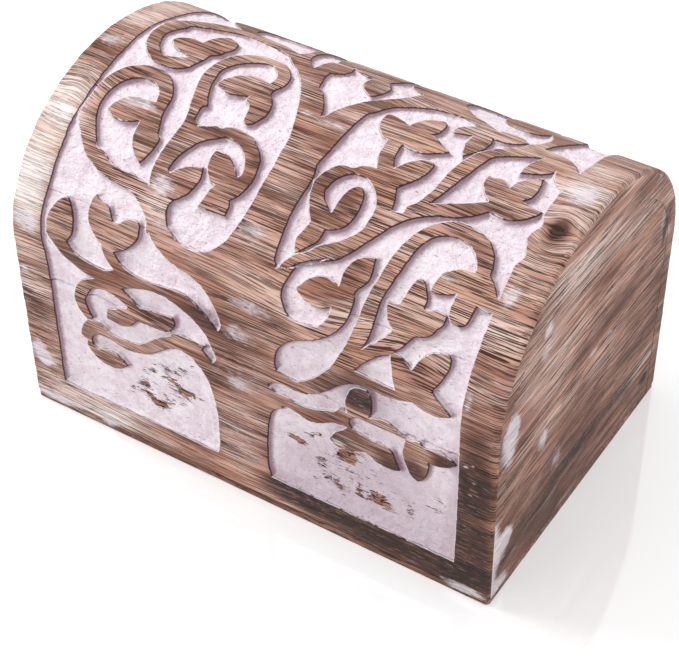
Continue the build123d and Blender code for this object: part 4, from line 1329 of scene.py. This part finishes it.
class JEWELRYBOX_OT_base(bpy.types.Operator):
    """Base plate and the felt that lines the floor"""
    bl_idname = "jewelry_box.base"
    bl_label = "Base plate and lining"

    def execute(self, context):
        slab(
            "base_plate_limed", "base_plate", HALF_LENGTH - PLATE_SHY, HALF_DEPTH - PLATE_SHY, 0, PLATE_TOP,
            PLATE_CORNER, "box", material_for(limed_mango_wood), edge=PLATE_EDGE)
        low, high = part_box("floor_lining")
        half_x, half_y = high[0] / MM, high[1] / MM
        lining = slab(
            "floor_lining_felt", "floor_lining", half_x, half_y, low[2] / MM, high[2] / MM,
            FELT_CORNER, "box", material_for(wool_felt), lumps=FELT_LUMPS, edge=FELT_EDGE)
        return {"FINISHED"}


class JEWELRYBOX_OT_hinges(bpy.types.Operator):
    """Brass finish of the hinges, pins and screws"""
    bl_idname = "jewelry_box.hinges"
    bl_label = "Hinges"

    def execute(self, context):
        brass = material_for(aged_brass)
        for name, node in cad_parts.items():
            if "_hinge_" in name:
                for slot in node.material_slots:
                    slot.material = brass
        return {"FINISHED"}


class JEWELRYBOX_OT_stage(bpy.types.Operator):
    """Floor, soft lights and camera"""
    bl_idname = "jewelry_box.stage"
    bl_label = "Stage"

    def execute(self, context):
        add_floor()
        add_lights()
        add_camera()
        return {"FINISHED"}


FLOOR_RADIUS = 6.0        # metres
FLOOR_RINGS, FLOOR_SIDES = 24, 96


def add_floor():
    """Round card floor: a disc drawn as rings from its middle, which is closed at its pole."""
    rings = np.linspace(0, 1, FLOOR_RINGS) ** 1.5 * FLOOR_RADIUS
    turn = np.linspace(0, 2 * math.pi, FLOOR_SIDES, endpoint=False)
    x = rings[:, None] * np.cos(turn)[None]
    y = rings[:, None] * np.sin(turn)[None]
    points = np.stack([x, y, 0 * x], -1).reshape(-1, 3)
    index = np.arange(x.size).reshape(x.shape)
    faces = grid_quads(np.concatenate([index, index[:, :1]], axis=1)).tolist()
    mesh = bpy.data.meshes.new("floor")
    mesh.from_pydata(points.tolist(), [], faces)
    close_poles(mesh)
    mesh.materials.append(material_for(studio_floor))
    floor = bpy.data.objects.new("floor", mesh)
    bpy.context.scene.collection.objects.link(floor)


SKY_STRENGTH = 0.92       # even light from all round
LIGHTS = [
    # name, place, aim, size, power
    ("key", (-0.90, -0.20, 1.10), (0.0, 0.0, 0.06), 0.5, 8.5),
]


def add_lights():
    """White studio all round, and one soft lamp over the left."""
    world = bpy.data.worlds.new("studio")
    world.use_nodes = True
    background = world.node_tree.nodes["Background"]
    background.inputs["Color"].default_value = linear("#ffffff")
    background.inputs["Strength"].default_value = SKY_STRENGTH
    bpy.context.scene.world = world
    for name, place, aim, size, power in LIGHTS:
        lamp = bpy.data.lights.new(name, "AREA")
        lamp.shape = "DISK"
        lamp.size = size
        lamp.energy = power
        light = bpy.data.objects.new(name, lamp)
        light.location = place
        light.rotation_euler = (Vector(aim) - Vector(place)).to_track_quat("-Z", "Y").to_euler()
        bpy.context.scene.collection.objects.link(light)
    bpy.context.scene.view_settings.view_transform = "Standard"


AIM = (0.00846, -0.01703, 0.04662)
TURN = 33.20              # the camera stands to the right of straight in front
LIFT = 42.13              # above the horizon
ROLL = 0.83
LENS = 100.3


def add_camera():
    """Camera that looks at a point of the box from so far away, turned, lifted and a little rolled."""
    turn, lift = math.radians(TURN), math.radians(LIFT)
    away = Vector((math.sin(turn) * math.cos(lift), -math.cos(turn) * math.cos(lift), math.sin(lift)))
    camera = bpy.data.objects.new("camera", bpy.data.cameras.new("camera"))
    camera.data.lens = LENS
    camera.data.sensor_width = 36.0
    camera.data.clip_start = 0.01
    place = Vector(AIM) + away * sizes().camera_distance
    look = (-away).to_track_quat("-Z", "Y").to_matrix().to_4x4()
    camera.matrix_world = Matrix.Translation(place) @ look @ Matrix.Rotation(math.radians(-ROLL), 4, "Z")
    bpy.context.scene.collection.objects.link(camera)
    bpy.context.scene.camera = camera


class JEWELRYBOX_PT_panel(bpy.types.Panel):
    """Sizes, colours and pieces of the jewelry box"""
    bl_idname = "JEWELRYBOX_PT_panel"
    bl_label = "Jewelry Box"
    bl_space_type = "VIEW_3D"
    bl_region_type = "UI"
    bl_category = "Jewelry Box"

    def draw(self, context):
        for operator in OPERATORS:
            self.layout.operator(operator.bl_idname)
        for group in (context.scene.jewelry_box_sizes, context.scene.jewelry_box_colours):
            for name in group.__annotations__:
                self.layout.prop(group, name)


OPERATORS = [
    JEWELRYBOX_OT_stage,
    JEWELRYBOX_OT_front_board,
    JEWELRYBOX_OT_back_board,
    JEWELRYBOX_OT_lid_staves,
    JEWELRYBOX_OT_ends,
    JEWELRYBOX_OT_base,
    JEWELRYBOX_OT_hinges,
]
CLASSES = [JewelryBoxSizes, JewelryBoxColours, *OPERATORS, JEWELRYBOX_PT_panel]


def register():
    """Add the classes and the scene's settings."""
    for cls in CLASSES:
        bpy.utils.register_class(cls)
    bpy.types.Scene.jewelry_box_sizes = bpy.props.PointerProperty(type=JewelryBoxSizes)
    bpy.types.Scene.jewelry_box_colours = bpy.props.PointerProperty(type=JewelryBoxColours)


def unregister():
    """Take them away again."""
    del bpy.types.Scene.jewelry_box_sizes
    del bpy.types.Scene.jewelry_box_colours
    for cls in reversed(CLASSES):
        bpy.utils.unregister_class(cls)


def main():
    """Build everything in order."""
    register()
    for operator in OPERATORS:
        module, name = operator.bl_idname.split(".")
        getattr(getattr(bpy.ops, module), name)()


if __name__ == "__main__":
    main()
